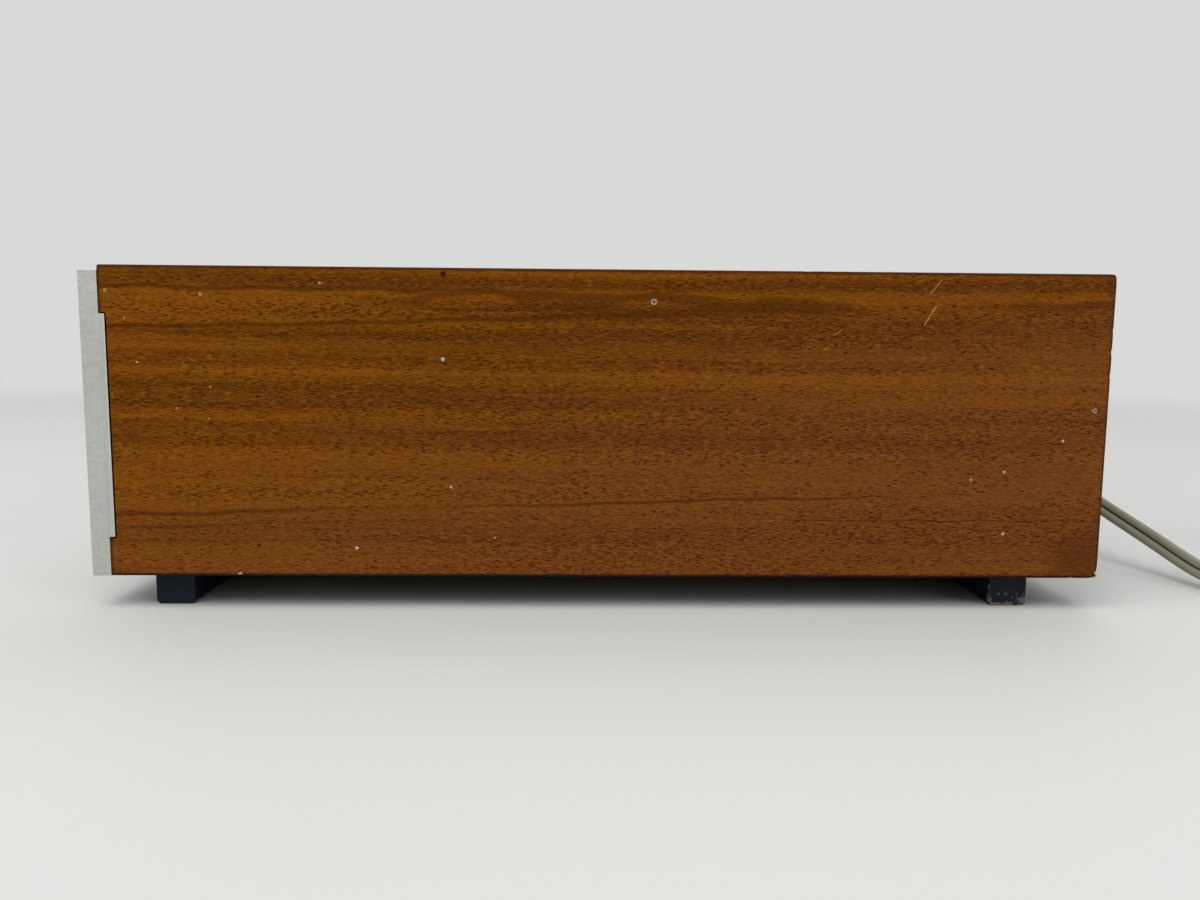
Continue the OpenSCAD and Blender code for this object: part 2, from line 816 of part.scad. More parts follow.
// The strap over the core, with a foot on each side
module transformer_clamp() {
    w = core_w + 2 * core_gap;
    z1 = tray_z + core_h + core_gap;
    y0 = trans_y - clamp_w / 2;
    y1 = trans_y + clamp_w / 2;
    color("silver") difference() {
        union() {
            slab(trans_x, w + 2 * clamp_t, y0, y1, tray_z, z1 + clamp_t);
            slab(trans_x, w + 2 * clamp_foot, y0, y1, tray_z, tray_z + clamp_t);
        }
        slab(trans_x, w, y0 - eps, y1 + eps, tray_z - eps, z1);
    }
}

module filter_capacitors() {
    color("steelblue") for (side = [-1, 1])
        post(can_x + side * can_pitch / 2, rear_in - can_in, can_d / 2, tray_z, ceil_z - can_head);
}

// Circuit

module amplifier_board() {
    color("darkgoldenrod") slab(board_x, board_w, board_front, board_front + board_d, board_z, board_z + board_t);
}

module board_standoffs() {
    x = board_w / 2 - standoff_in;
    color("silver") for (side = [-x, x], y = [board_front + standoff_in, board_front + board_d - standoff_in])
        post(board_x + side, y, standoff_r, tray_z, board_z);
}

// Two rows of small capacitors and two rows of resistors on the board
module board_components() {
    z = board_z + board_t;
    y = board_front + board_d / 2;
    for (i = [-3 : 3]) {
        x = board_x + i * part_pitch;
        color("#2f4f8f") for (row = [-1, 1]) post(x, y + row * part_pitch, part_r, z, z + part_h);
        color("tan") for (row = [-0.5, 0.5])
            slab(x, resistor_l, y + row * part_pitch / 2 - resistor_t / 2, y + row * part_pitch / 2 + resistor_t / 2,
                z, z + resistor_t);
    }
}

// An upright back with fins towards the rear
module heat_sink() {
    z1 = ceil_z - sink_head;
    count = floor((sink_w - fin_t) / fin_pitch / 2);
    color("#3a3a3e") {
        slab(sink_x, sink_w, sink_front, sink_front + fin_t, tray_z, z1);
        for (i = [-count : count]) slab(sink_x + i * fin_pitch, fin_t, sink_front, sink_rear, tray_z, z1);
    }
}

module output_transistors() {
    z = (tray_z + ceil_z - sink_head) / 2;
    color("silver") for (i = [-1.5 : 1.5])
        rod(sink_x + i * device_pitch, z, device_r, sink_front - device_h, sink_front);
}

// Sockets

// A round panel socket with a flange outside, and a bore of diameter d that opens to the rear
module round_socket(x, d) {
    difference() {
        union() {
            rod(x, row_z, din_d / 2, rear_face - din_l, rear_face + din_flange_t);
            rod(x, row_z, din_flange_d / 2, rear_face, rear_face + din_flange_t);
        }
        rod(x, row_z, d / 2, rear_face + din_flange_t - din_depth, rear_face + din_flange_t + eps);
    }
}

// A small eight-sided contact hole in a socket's floor
module contact_hole(x, z) {
    floor_y = rear_face + din_flange_t - din_depth;
    translate([x, floor_y - din_pin_depth, z]) rotate([-90, 0, 0])
        cylinder(r = din_pin_r, h = din_pin_depth + eps, $fn = 8);
}

// Four inputs with five contacts on a half circle
module input_sockets() {
    color("#202022") for (x = input_xs) difference() {
        round_socket(x, din_bore_d);
        for (i = [0 : 4]) {
            a = 180 + 45 * i;
            contact_hole(x + din_pin_ring / 2 * cos(a), row_z + din_pin_ring / 2 * sin(a));
        }
    }
}

// Two speaker sockets with a round and a flat contact
module speaker_sockets() {
    floor_y = rear_face + din_flange_t - din_depth;
    color("#202022") for (x = speaker_xs) difference() {
        round_socket(x, speaker_bore_d);
        contact_hole(x + din_pin_ring / 2, row_z);
        slab(x, 2 * din_pin_r, floor_y - din_pin_depth, floor_y + eps, row_z - din_pin_ring / 4,
            row_z + din_pin_ring / 4);
    }
}

module fuse_holder() {
    out = rear_face + fuse_flange_t;
    color("#202022") difference() {
        union() {
            rod(fuse_x, row_z, fuse_r, rear_face - fuse_l, out);
            rod(fuse_x, row_z, fuse_flange_r, rear_face, out);
        }
        rod(fuse_x, row_z, fuse_stem_r + shaft_gap, out - fuse_stem_l - fuse_cap_gap, out + eps);
    }
}

// The cap that holds the fuse, with a screwdriver slot
module fuse_cap() {
    back = rear_face + fuse_flange_t + fuse_cap_gap;
    color("#202022") difference() {
        union() {
            rod(fuse_x, row_z, fuse_cap_r, back, back + fuse_cap_l);
            rod(fuse_x, row_z, fuse_stem_r, back - fuse_stem_l, back + fuse_cap_l / 2);
        }
        slab(fuse_x, fuse_stem_r / 2, back + fuse_cap_l / 2, back + fuse_cap_l + eps,
            row_z - fuse_cap_r - eps, row_z + fuse_cap_r + eps);
    }
}

// Mains cord

// The tapered grip: a flange inside the panel, a neck in its hole and a cone outside
module strain_relief() {
    x = run_points[0].x;
    z = run_points[0].z;
    color("#8a8974") {
        rod(x, z, relief_flange_r, rear_in - relief_flange_t, rear_in);
        rod(x, z, relief_neck_r, rear_in - relief_flange_t, rear_face + eps);
        translate([x, rear_face, z]) rotate([-90, 0, 0]) cylinder(r1 = relief_r1, r2 = relief_r2, h = relief_l);
    }
}

// Unit vector along v
function unit(v) = v / norm(v);

// Directions along a path whose end directions are given
function path_dirs(p, first, last) = [for (i = [0 : len(p) - 1])
    i == 0 ? first : i == len(p) - 1 ? last : unit(p[i + 1] - p[i - 1])];

// One ring of a section, given as [across, up] pairs, at point p square to direction d
function ring(p, d, section) = let (across = unit(cross(d, [0, 0, 1])), up = cross(across, d))
    [for (s = section) p + across * s[0] + up * s[1]];

// A closed tube swept along points p with directions d
module sweep(p, d, section) {
    n = len(p);
    m = len(section);
    points = [for (i = [0 : n - 1]) each ring(p[i], d[i], section)];
    sides = [for (i = [0 : n - 2], j = [0 : m - 1]) let (a = i * m + j, b = i * m + (j + 1) % m)
        each [[a, b, b + m], [a, b + m, a + m]]];
    first_cap = [for (j = [1 : m - 2]) [0, j + 1, j]];
    last_cap = [for (j = [1 : m - 2]) [(n - 1) * m, (n - 1) * m + j, (n - 1) * m + j + 1]];
    polyhedron(points, concat(sides, first_cap, last_cap));
}

// Twin section of the free cord: two round cores and the web between them, 12 sides
core_r = cord_t / 2;
core_up = (cord_w - cord_t) / 2;
upper_core = [for (a = [-30 : 60 : 210]) [core_r * cos(a), core_up + core_r * sin(a)]];
twin_section = concat([[core_r / 2, 0]], upper_core, [[-core_r / 2, 0]], [for (s = upper_core) -s]);

// Plain six-sided section of the coiled cord
coil_section = [for (a = [30 : 60 : 330]) [core_r * cos(a) / cos(30), cord_w / 2 * sin(a)]];

// The coil's centre line after t turns: in, up a layer where the spiral reverses, and out again
function ease(s) = s * s * (3 - 2 * s);
function coil_radius(t) = coil_r0 - coil_pitch * coil_in + coil_pitch * abs(t - coil_in);
function coil_height(t) =
    coil_z + coil_layer * ease(min(1, max(0, (t - coil_in) / coil_climb + 0.5)));
function coil_angle(t) = coil_from + 360 * t;
function coil_point(t) = let (r = coil_radius(t), a = coil_angle(t))
    [coil_at.x + r * cos(a), coil_at.y + r * sin(a), coil_height(t)];
function coil_dir(t) = let (a = coil_angle(t)) [-sin(a), cos(a), 0];

coil_count = round(coil_turns * coil_rings);
spiral = [for (i = [0 : coil_count]) coil_point(i * coil_turns / coil_count)];
coil_start = spiral[0] - cord_w * coil_dir(0);
coil_end = spiral[coil_count] + cord_w * coil_dir(coil_turns);
coil_path = concat([coil_start], spiral, [coil_end]);

// Least gap between turns of the coil: beside each other or one above the other
function turn_gap(p, q) = max(norm([p.x - q.x, p.y - q.y]) - cord_t, abs(p.z - q.z) - cord_w);
echo(coil_gap = min([for (i = [0 : coil_count], j = [i + coil_rings / 2 : coil_count])
    turn_gap(spiral[i], spiral[j])]));

module mains_cord_run() {
    path = concat(run_points, [coil_start]);
    color("#8a8974") sweep(path, path_dirs(path, [0, 1, 0], coil_dir(0)), twin_section);
}

module mains_cord_coil() {
    dirs = path_dirs(coil_path, coil_dir(0), coil_dir(coil_turns));
    color("#8a8974") sweep(coil_path, dirs, coil_section);
}

module mains_cord_tail() {
    path = concat([coil_end], tail_points, [plug_at]);
    color("#8a8974") sweep(path, path_dirs(path, coil_dir(coil_turns), coil_dir(coil_turns)), twin_section);
}

// A flat band round the coil's turns
module cord_tie() {
    x0 = coil_at.x + coil_r0 - coil_pitch * coil_in - core_r - tie_gap;
    x1 = coil_at.x + coil_r0 + core_r + tie_gap;
    z1 = coil_z + coil_layer + cord_w / 2 + tie_gap;
    y0 = coil_at.y - tie_w / 2;
    y1 = coil_at.y + tie_w / 2;
    color("#303030") difference() {
        block([x0 - tie_t, y0, 0], [x1 + tie_t, y1, z1 + tie_t]);
        block([x0, y0 - eps, tie_t], [x1, y1 + eps, z1]);
    }
}

// A flat two-pin plug that lies on its broad face, its pins away from the cord
module mains_plug() {
    shoulder = plug_neck_l + plug_shoulder_l;
    half = [[0, plug_neck_w / 2], [plug_neck_l, plug_neck_w / 2], [shoulder, plug_w / 2], [plug_l, plug_w / 2]];
    outline = concat(half, [for (i = [3 : -1 : 0]) [half[i].x, -half[i].y]]);
    translate([plug_at.x, plug_at.y, 0]) mirror([1, 0, 0]) {
        color("#2a2a2c") linear_extrude(plug_t) polygon(outline);
        color("silver") for (side = [-1, 1])
            translate([plug_l - eps, side * pin_pitch / 2, plug_t / 2]) rotate([0, 90, 0])
                cylinder(d = pin_d, h = pin_l + eps);
    }
}

cabinet_side_left();
cabinet_side_right();
cabinet_top();
top_rear_batten();
cabinet_bottom();
vent_grille();
front_foot_rail();
rear_foot_rail();
foot_rail_screws();
chassis_base();
chassis_front();
rear_panel();
rear_panel_screws();
chassis_bolts();
front_panel();
source_knob();
bass_knob();
treble_knob();
balance_knob();
volume_knob();
source_shaft();
bass_shaft();
treble_shaft();
balance_shaft();
volume_shaft();
source_switch();
bass_control();
treble_control();
balance_control();
volume_control();
panel_nuts();
mono_button();
loudness_button();
filter_button();
power_button();
switch_bank();
power_switch();
pilot_lens();
pilot_lamp();
headphone_jack();
transformer_core();
transformer_bobbin();
transformer_clamp();
filter_capacitors();
amplifier_board();
board_components();
board_standoffs();
heat_sink();
output_transistors();
input_sockets();
speaker_sockets();
fuse_holder();
fuse_cap();
strain_relief();
mains_cord_run();
mains_cord_coil();
mains_cord_tail();
cord_tie();
mains_plug();
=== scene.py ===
"""Dresses a slim stereo amplifier: veneered boards, satin aluminium front, dials, sockets and twin cord."""
import json
import math
from functools import partialmethod, reduce

import bmesh
import bpy
import numpy as np
from mathutils import Matrix, Vector


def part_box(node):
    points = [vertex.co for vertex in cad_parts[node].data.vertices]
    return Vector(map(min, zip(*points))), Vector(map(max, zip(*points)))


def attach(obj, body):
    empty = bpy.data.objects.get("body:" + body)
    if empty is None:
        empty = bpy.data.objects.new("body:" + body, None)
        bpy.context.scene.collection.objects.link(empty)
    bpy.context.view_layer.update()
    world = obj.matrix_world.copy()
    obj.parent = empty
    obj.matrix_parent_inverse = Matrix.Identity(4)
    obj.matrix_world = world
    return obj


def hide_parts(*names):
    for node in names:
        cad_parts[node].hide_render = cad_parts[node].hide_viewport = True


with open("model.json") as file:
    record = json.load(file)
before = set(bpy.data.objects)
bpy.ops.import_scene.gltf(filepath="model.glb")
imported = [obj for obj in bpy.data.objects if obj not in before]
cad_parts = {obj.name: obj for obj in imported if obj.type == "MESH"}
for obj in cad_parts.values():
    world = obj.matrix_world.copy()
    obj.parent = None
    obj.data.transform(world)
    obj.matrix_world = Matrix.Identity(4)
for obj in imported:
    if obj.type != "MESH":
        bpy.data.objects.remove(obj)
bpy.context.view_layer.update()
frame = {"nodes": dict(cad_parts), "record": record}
MM = 0.001
ROOT = "cabinet"
SAME_POINT = 2e-6
DIALS = ("source", "bass", "treble", "balance", "volume")

# Camera: the photograph looks at the right side board, a little from above
CAMERA_AT = (0.4350, 0.0027, 0.0710)
CAMERA_PITCH, CAMERA_YAW, CAMERA_ROLL = 6.58, -1.27, 0.48
CAMERA_LENS = 28.5

# Mains cord, in millimetres: the same route as the solids
CORD_W, CORD_T, CORD_STEP = 5.2, 2.6, 2.0
# The hanging stretch is twisted, in degrees, most at this distance along it
CORD_TWIST, TWIST_AT, TWIST_REACH = 30, 105, 62
RUN_POINTS = [[40, 141, 46], [40, 147, 46], [41.5, 154, 45.5], [48, 163.5, 43], [58, 169, 39.5],
              [72, 171, 35], [90, 172, 29.6], [110, 173.5, 23.2], [128, 176, 17.8], [148, 180.5, 11.4],
              [164, 185, 5.7], [173, 187.8, 4.1]]
TAIL_POINTS = [[164, 261.8, 9.4], [154, 261.8, 8.3], [146, 261.8, 7.2], [138, 261.8, 7]]
COIL_AT = (176, 226)
COIL_R0, COIL_PITCH, COIL_Z, COIL_LAYER = 36, 3.8, 3.6, 6
COIL_FROM, COIL_LOOPS, COIL_TO = -74, 6, 90
COIL_IN, COIL_CLIMB, COIL_SINK = 3.25, 0.25, 0.85

# Teak, in linear light
TEAK_DARK, TEAK_LIGHT = (0.104, 0.0285, 0.0004), (0.206, 0.0640, 0.0006)
TEAK_RED, TEAK_GLEAM, TEAK_LINE = (0.150, 0.0445, 0.0125), (0.235, 0.0790, 0.0025), (0.050, 0.0130, 0.0010)
TEAK_PORE, TEAK_EDGE, TEAK_BARE = (0.040, 0.0105, 0.0010), (0.040, 0.0085, 0.0040), (0.44, 0.26, 0.110)

# Marks on the right-hand board: distance back and height, then radius, in millimetres
PAINT_SPECKS = [(-32.3, 65.9, 0.52), (-30.5, 32.8, 0.36), (-55.2, 16.6, 0.46), (114.4, 37.5, 0.36),
                (129.5, 45.8, 0.36), (115.0, 21.0, 0.40), (-19.2, 19.4, 0.26), (-112.5, 75.7, 0.22),
                (-109.8, 64.6, 0.28), (-100.3, 52.9, 0.20)]
FAINT_SPECKS = [(-93.3, 81.8, 0.50), (-117.0, 82.6, 0.50), (105.7, 35.4, 0.46), (-63.2, 84.9, 0.40),
                (-91.6, 58.3, 0.28), (-92.2, 50.3, 0.26)]
PAINT_RINGS = [(21.6, 80.9, 0.82), (137.4, 53.8, 0.66)]
DARK_SPOTS = [(-32.0, 87.4, 0.75), (-80.6, 17.3, 0.42)]
REAR_STAIN = (136, 14)
# Each scratch has two ends and a width
SCRATCHES = [((92.4, 83.3), (95.9, 87.4), 0.14), ((91.2, 75.0), (94.6, 80.8), 0.17),
             ((67.8, 72.7), (70.2, 74.4), 0.12), ((65.5, 68.8), (66.9, 69.7), 0.13)]

# Bare specks on the end of the rear foot rail: distance back and height
RAIL_SPECKS = [(117.3, 3.2), (119.3, 3.2)]

# Dents in the right-hand board's edge: distance back, height, width, depth, and how bare the wood is
EDGE_DENTS = [(-85.8, 9.0, 0.8, 0.35, 0.9), (-78.0, 9.0, 0.5, 0.15, 0.5), (140.9, 9.8, 1.7, 0.30, 0.66),
              (134.0, 9.0, 0.6, 0.12, 0.40), (141.0, 74.5, 0.5, 0.16, 0.0), (141.0, 69.0, 0.7, 0.22, 0.0),
              (141.0, 63.0, 0.6, 0.18, 0.0), (141.0, 88.5, 0.8, 0.15, 0.2), (-20.0, 9.0, 0.6, 0.15, 0.4),
              (61.0, 89.0, 0.6, 0.08, 0.2)]

# A knob's profile in millimetres: radius, and height from its face, from its back and from its face again
KNOB_HOLLOW = [(0, 4), (3.15, 4), (3.15, 12.9), (9.0, 12.9)]
KNOB_SKIRT = [(9.0, 0), (13.4, 0), (13.85, 0.15), (14.0, 0.5), (14.0, 1.9), (13.75, 2.25), (13.35, 2.4),
              (13.3, 2.6), (13.3, 3.4), (13.3, 8.0)]
KNOB_FACE = [(13.3, 2.2), (13.25, 1.5), (13.1, 1.1), (12.8, 0.65), (12.3, 0.28), (11.7, 0.08), (11.3, 0.05),
             (11.1, 0.12), (10.95, 0.35), (10.6, 0.35), (10.45, 0.15), (10.2, 0.08), (5.0, 0.08), (0, 0.08)]
# How deep the flutes are cut, as a share, from the skirt's last rows to the face's first
FLUTE_DEPTH, FLUTES, FLUTE_SHARES = 0.42, 42, (0.2, 1, 1, 1, 0.35)

# Print round a dial, in millimetres: where bars start and end, long or short, and where numbers stand
BAR_FROM, BAR_LONG, BAR_SHORT, NUMBER_AT = 15.4, 17.4, 16.7, 20.2
# How far any print stands proud of its panel, in metres
PRINT_PROUD = 0.00003

# Sockets: half a moulding's width and the circle of the contacts in metres, the depth in millimetres
SOCKET_R, CONTACT_R, SOCKET_DEPTH = 0.012, 0.00375, 8.0
# A socket contact: radius and distance from the socket's floor, in millimetres
SLEEVE = np.array([(0, -1.0), (0.38, -1.0), (0.38, 0.12), (0.5, 0.22), (0.74, 0.12), (0.74, -1.9), (0, -1.9)])

# Floor, surround and lamps: place, size and power
FLOOR_COLOR, SURROUND, SKY_LIGHT = (0.600, 0.602, 0.580), (0.690, 0.700, 0.690), (0.36, 0.37, 0.38)
LAMPS = [("key", (0.95, -0.35, 1.45), 1.5, 20.0), ("fill", (1.00, 1.30, 0.75), 1.2, 9.0),
         ("front", (0.55, -1.50, 0.70), 1.2, 8.0), ("back", (-0.6, 0.3, 1.5), 1.4, 7.0)]


class Field:
    """A shader socket used as a number: each operator adds one Math node."""

    def __init__(self, tree, socket):
        self.tree = tree
        self.socket = socket

    def math(self, operation, *others):
        node = self.tree.nodes.new("ShaderNodeMath")
        node.operation = operation
        for slot, value in zip(node.inputs, (self, *others)):
            feed(self.tree, slot, value)
        return Field(self.tree, node.outputs[0])

    def __rsub__(self, other):
        return self.math("MULTIPLY_ADD", -1.0, other)

    __add__ = __radd__ = partialmethod(math, "ADD")
    __mul__ = __rmul__ = partialmethod(math, "MULTIPLY")
    __sub__ = partialmethod(math, "SUBTRACT")
    __truediv__ = partialmethod(math, "DIVIDE")
    __pow__ = partialmethod(math, "POWER")
    __abs__ = partialmethod(math, "ABSOLUTE")
    most = partialmethod(math, "MAXIMUM")
    least = partialmethod(math, "MINIMUM")


def feed(tree, slot, value):
    """Links a field to a socket, or writes a plain number or colour on it."""
    if isinstance(value, Field):
        tree.links.new(value.socket, slot)
    elif hasattr(value, "__len__") and len(value) < len(slot.default_value):
        slot.default_value = (*value, 1.0)
    else:
        slot.default_value = value


class Nodes:
    """The nodes of one tree."""

    def __init__(self, tree):
        self.tree = tree

    def node(self, kind, settings=None, sockets=None, out=0):
        """Adds a node: its settings first, then the values or links of its sockets."""
        node = self.tree.nodes.new(kind)
        for name, value in (settings or {}).items():
            setattr(node, name, value)
        for name, value in (sockets or {}).items():
            feed(self.tree, node.inputs[name], value)
        return Field(self.tree, node.outputs[out])

    def mix(self, factor, first, second, blend="MIX"):
        """The first colour where factor is 0, the second where it is 1."""
        settings = {"data_type": "RGBA", "blend_type": blend}
        return self.node("ShaderNodeMix", settings, {0: factor, 6: first, 7: second}, 2)


class Finish(Nodes):
    """A material in the making: its shader, and the nodes that feed it."""

    def __init__(self, name, **constants):
        self.material = bpy.data.materials.new(name)
        self.material.use_nodes = True
        super().__init__(self.material.node_tree)
        self.shader = self.tree.nodes["Principled BSDF"]
        self.place = self.node("ShaderNodeTexCoord", out="Object")
        self.wear(**constants)

    def wear(self, **values):
        """Sets or links sockets of the shader, written as base_color for Base Color."""
        for name, value in values.items():
            socket = name.replace("_", " ").title().replace("Ior", "IOR")
            feed(self.tree, self.shader.inputs[socket], value)
        return self.material

    def scaled(self, scale, place=None, shift=(0, 0, 0)):
        """The place on the piece, counted in cycles per metre along each axis, or alike on all of them."""
        scale = scale if hasattr(scale, "__len__") else (scale, scale, scale)
        return self.node("ShaderNodeMapping", None,
                         {"Vector": place or self.place, "Location": shift, "Scale": scale})

    def noise(self, scale, detail=2.0, rough=0.5, place=None, shift=(0, 0, 0), out="Fac"):
        """Soft noise with so many cycles per metre."""
        at = self.scaled(scale, place, shift)
        sockets = {"Vector": at, "Scale": 1.0, "Detail": detail, "Roughness": rough}
        return self.node("ShaderNodeTexNoise", None, sockets, out)

    def cells(self, scale, place=None, out="Distance"):
        """Distance to the nearest of scattered points, so many per metre, or that point's own colour."""
        sockets = {"Vector": self.scaled(scale, place), "Scale": 1.0}
        return self.node("ShaderNodeTexVoronoi", None, sockets, out)

    def warped(self, noise_color, reach, place=None):
        """The place moved by a coloured noise, up to half of reach along each axis."""
        kind = "ShaderNodeVectorMath"
        centred = self.node(kind, {"operation": "SUBTRACT"}, {0: noise_color, 1: (0.5, 0.5, 0.5)})
        sockets = {0: centred, 1: reach, 2: place or self.place}
        return self.node(kind, {"operation": "MULTIPLY_ADD"}, sockets)

    def step(self, value, low, high):
        """Rises smoothly from 0 at low to 1 at high; falls where low is the larger."""
        flip = low > high
        sockets = {"Value": value, "From Min": min(low, high), "From Max": max(low, high)}
        rise = self.node("ShaderNodeMapRange", {"interpolation_type": "SMOOTHSTEP"}, sockets)
        return 1 - rise if flip else rise

    def parts(self, place=None):
        """The three numbers of a place."""
        sockets = {0: place or self.place}
        return [self.node("ShaderNodeSeparateXYZ", None, sockets, axis) for axis in range(3)]

    def own(self, name):
        """A number stored on the piece's points."""
        return self.node("ShaderNodeAttribute", {"attribute_name": name}, None, "Fac")

    def box_rim(self, low, high, reach):
        """1 at the edges of a box and 0 further from them than reach: the middle one of the three
        distances to its sides is the distance to the nearest edge."""
        a, b, c = [(at - lo).least(hi - at) for at, lo, hi in zip(self.parts(), low, high)]
        middle = a.least(b).most(a.most(b).least(c))
        return self.step(middle, reach, 0.0)

    def done(self, color, rough, height, distance, strength=1.0, **others):
        """The material with its colour, its roughness and a bump that is so many metres at height 1."""
        sockets = {"Height": height, "Distance": distance, "Strength": strength}
        normal = self.node("ShaderNodeBump", None, sockets)
        return self.wear(base_color=color, roughness=rough, normal=normal, **others)


def apart(a, b):
    """How far two offsets at a right angle lead."""
    return (a ** 2.0 + b ** 2.0) ** 0.5


def most_of(fields):
    """The largest of several fields."""
    return reduce(Field.most, fields)


def shade(color, factor, lift=0.0):
    """A colour times a factor, plus a lift, up to 1."""
    return tuple(min(1.0, factor * c + lift) for c in color)


def unit(vectors):
    """The same directions with length 1."""
    return vectors / np.linalg.norm(vectors, axis=-1, keepdims=True)


def spline(points, per_span=12):
    """Smooth curve through points: on each span a cubic whose end slopes are half the neighbours' chord."""
    p = np.asarray(points, float)
    p = np.vstack([2 * p[0] - p[1], p, 2 * p[-1] - p[-2]])
    t = np.linspace(0, 1, per_span, endpoint=False)[None, :, None]
    a, b, c, d = p[:-3, None], p[1:-2, None], p[2:-1, None], p[3:, None]
    cubic = 2 * b + (c - a) * t + (2 * a - 5 * b + 4 * c - d) * t ** 2 + (3 * b - a - 3 * c + d) * t ** 3
    return np.vstack([cubic.reshape(-1, p.shape[1]) / 2, p[-2]])


def lengths_along(points):
    """The distance along a line to each of its points."""
    return np.concatenate([[0], np.cumsum(np.linalg.norm(np.diff(points, axis=0), axis=1))])


def along(points, spacing):
    """The same line with points at an even spacing, measured along it."""
    lengths = lengths_along(points)
    marks = np.linspace(0, lengths[-1], int(round(lengths[-1] / spacing)) + 1)
    return np.stack([np.interp(marks, lengths, column) for column in points.T], -1)


def placed(u, v, height, axis):
    """Points of a flat outline (u, v) lifted to a height along x, y or z."""
    u, v, height = np.broadcast_arrays(u, v, height)
    order = {"x": (height, u, v), "y": (u, height, v), "z": (u, v, height)}
    return np.stack(order[axis], -1)


def rounded(corners, radii, steps=5):
    """Outline whose corners are arcs: each arc touches both sides, its points turn evenly between them."""
    c = np.asarray(corners, float)
    r = np.broadcast_to(np.asarray(radii, float), len(c))[:, None]
    before, after = unit(np.roll(c, 1, 0) - c), unit(np.roll(c, -1, 0) - c)
    half = np.arccos(np.clip((before * after).sum(-1, keepdims=True), -1, 1)) / 2
    middle = c + unit(before + after) * r / np.sin(half)
    start, end = c + before * r / np.tan(half) - middle, c + after * r / np.tan(half) - middle
    share = np.linspace(0, 1, steps)[None, :, None]
    arc = unit(start[:, None] * (1 - share) + end[:, None] * share + 1e-12)
    return (middle[:, None] + arc * r[:, None]).reshape(-1, 2)


def dense(outline, spacing):
    """A closed outline that keeps its points and has more of them along its straight sides."""
    closed = np.vstack([outline, outline[:1]])
    lengths = lengths_along(closed)
    marks = np.union1d(np.round(lengths[:-1], 7), np.round(np.arange(0, lengths[-1], spacing), 7))
    return np.stack([np.interp(marks, lengths, column) for column in closed.T], -1)


def outward(outline):
    """Directions square to a closed outline that runs anticlockwise, pointing out of it."""
    ahead = unit(np.roll(outline, -1, 0) - outline)
    tangent = unit(ahead + np.roll(ahead, 1, 0) + 1e-12)
    return np.stack([tangent[:, 1], -tangent[:, 0]], -1)


def tube(grid, loop=False):
    """Closed shell of rings: neighbours are joined by four-sided faces, and the first and last ring by
    caps, or to each other in a loop."""
    rows, cols = grid.shape[:2]
    i, j = np.meshgrid(np.arange(rows if loop else rows - 1), np.arange(cols), indexing="ij")
    i, j, m, k = i * cols, j, (i + 1) % rows * cols, (j + 1) % cols
    sides = np.stack([i + j, i + k, m + k, m + j], -1).reshape(-1, 4).tolist()
    ends = [] if loop else [list(range(cols)), list(range((rows - 1) * cols, rows * cols))]
    return grid.reshape(-1, 3), sides + ends


def slab(outline, low, high, edge, axis, fade=0.0, steps=4):
    """An outline lifted from low to high whose two rims are quarter rounds: inset by edge at the faces
    and not at all a radius further in. Also gives each point's nearness to a rim, 1 there and, with a fade,
    0 that much further in; the faces' inner rings are then the outline held inside a smaller box."""
    turn = np.linspace(0, np.pi / 2, steps)
    inset, lift = edge * (1 - np.sin(turn)), edge * (1 - np.cos(turn))
    if fade:
        inset, lift = np.concatenate([[0.0], inset, [0.0]]), np.concatenate([[0.0], lift, [edge + fade]])
    inset = np.concatenate([inset, inset[::-1]])
    height = np.concatenate([low + lift, high - lift[::-1]])
    ring = outline[None] - outward(outline)[None] * inset[:, None, None]
    rim = np.ones(ring.shape[:2])
    if fade:
        ring[[0, -1]] = np.clip(outline, outline.min(0) + edge + fade, outline.max(0) - edge - fade)
        rim[[0, steps + 1, steps + 2, -1]] = 0.0
    return placed(ring[..., 0], ring[..., 1], height[:, None], axis), rim


def turned(profile, centre, axis, segments=48, ripple=None, rows=None):
    """A profile of (radius, height) pairs turned round an axis; ripple adds to some rows' radius by angle."""
    radius, rise = np.asarray(profile, float).T
    angle = np.linspace(0, 2 * np.pi, segments, endpoint=False)
    radius = radius[:, None] + (rows[:, None] * ripple(angle)[None] if ripple else 0 * angle[None])
    grid = placed(radius * np.cos(angle), radius * np.sin(angle), rise[:, None], axis)
    return grid + np.asarray(centre, float)


def joined(shells):
    """Several shells as one set of points and faces."""
    starts = np.concatenate([[0], np.cumsum([len(points) for points, faces in shells])])
    faces = [[int(start) + i for i in face] for start, (points, part) in zip(starts, shells) for face in part]
    return np.vstack([points for points, part in shells]), faces


def cleaned(mesh, whole=False):
    """A mesh with its doubles merged, and then its flat faces made whole or its faces turned outwards."""
    work = bmesh.new()
    work.from_mesh(mesh)
    bmesh.ops.remove_doubles(work, verts=work.verts, dist=SAME_POINT)
    if whole:
        bmesh.ops.dissolve_limit(work, angle_limit=math.radians(0.5), verts=work.verts, edges=work.edges)
    else:
        bmesh.ops.recalc_face_normals(work, faces=work.faces)
    work.to_mesh(mesh)
    work.free()
    return mesh


def make_piece(name, shell, material, body=ROOT, sharp=35.0, marks=None, stands_for=()):
    """A mesh object from a shell, with numbers stored on its points; edges past an angle stay sharp."""
    points, faces = shell
    mesh = bpy.data.meshes.new(name)
    mesh.from_pydata(np.asarray(points).tolist(), [], faces)
    for key, values in (marks or {}).items():
        layer = mesh.attributes.new(key, "FLOAT", "POINT")
        layer.data.foreach_set("value", np.asarray(values, np.float32).ravel())
    return show_piece(name, cleaned(mesh), material, body, sharp, stands_for)


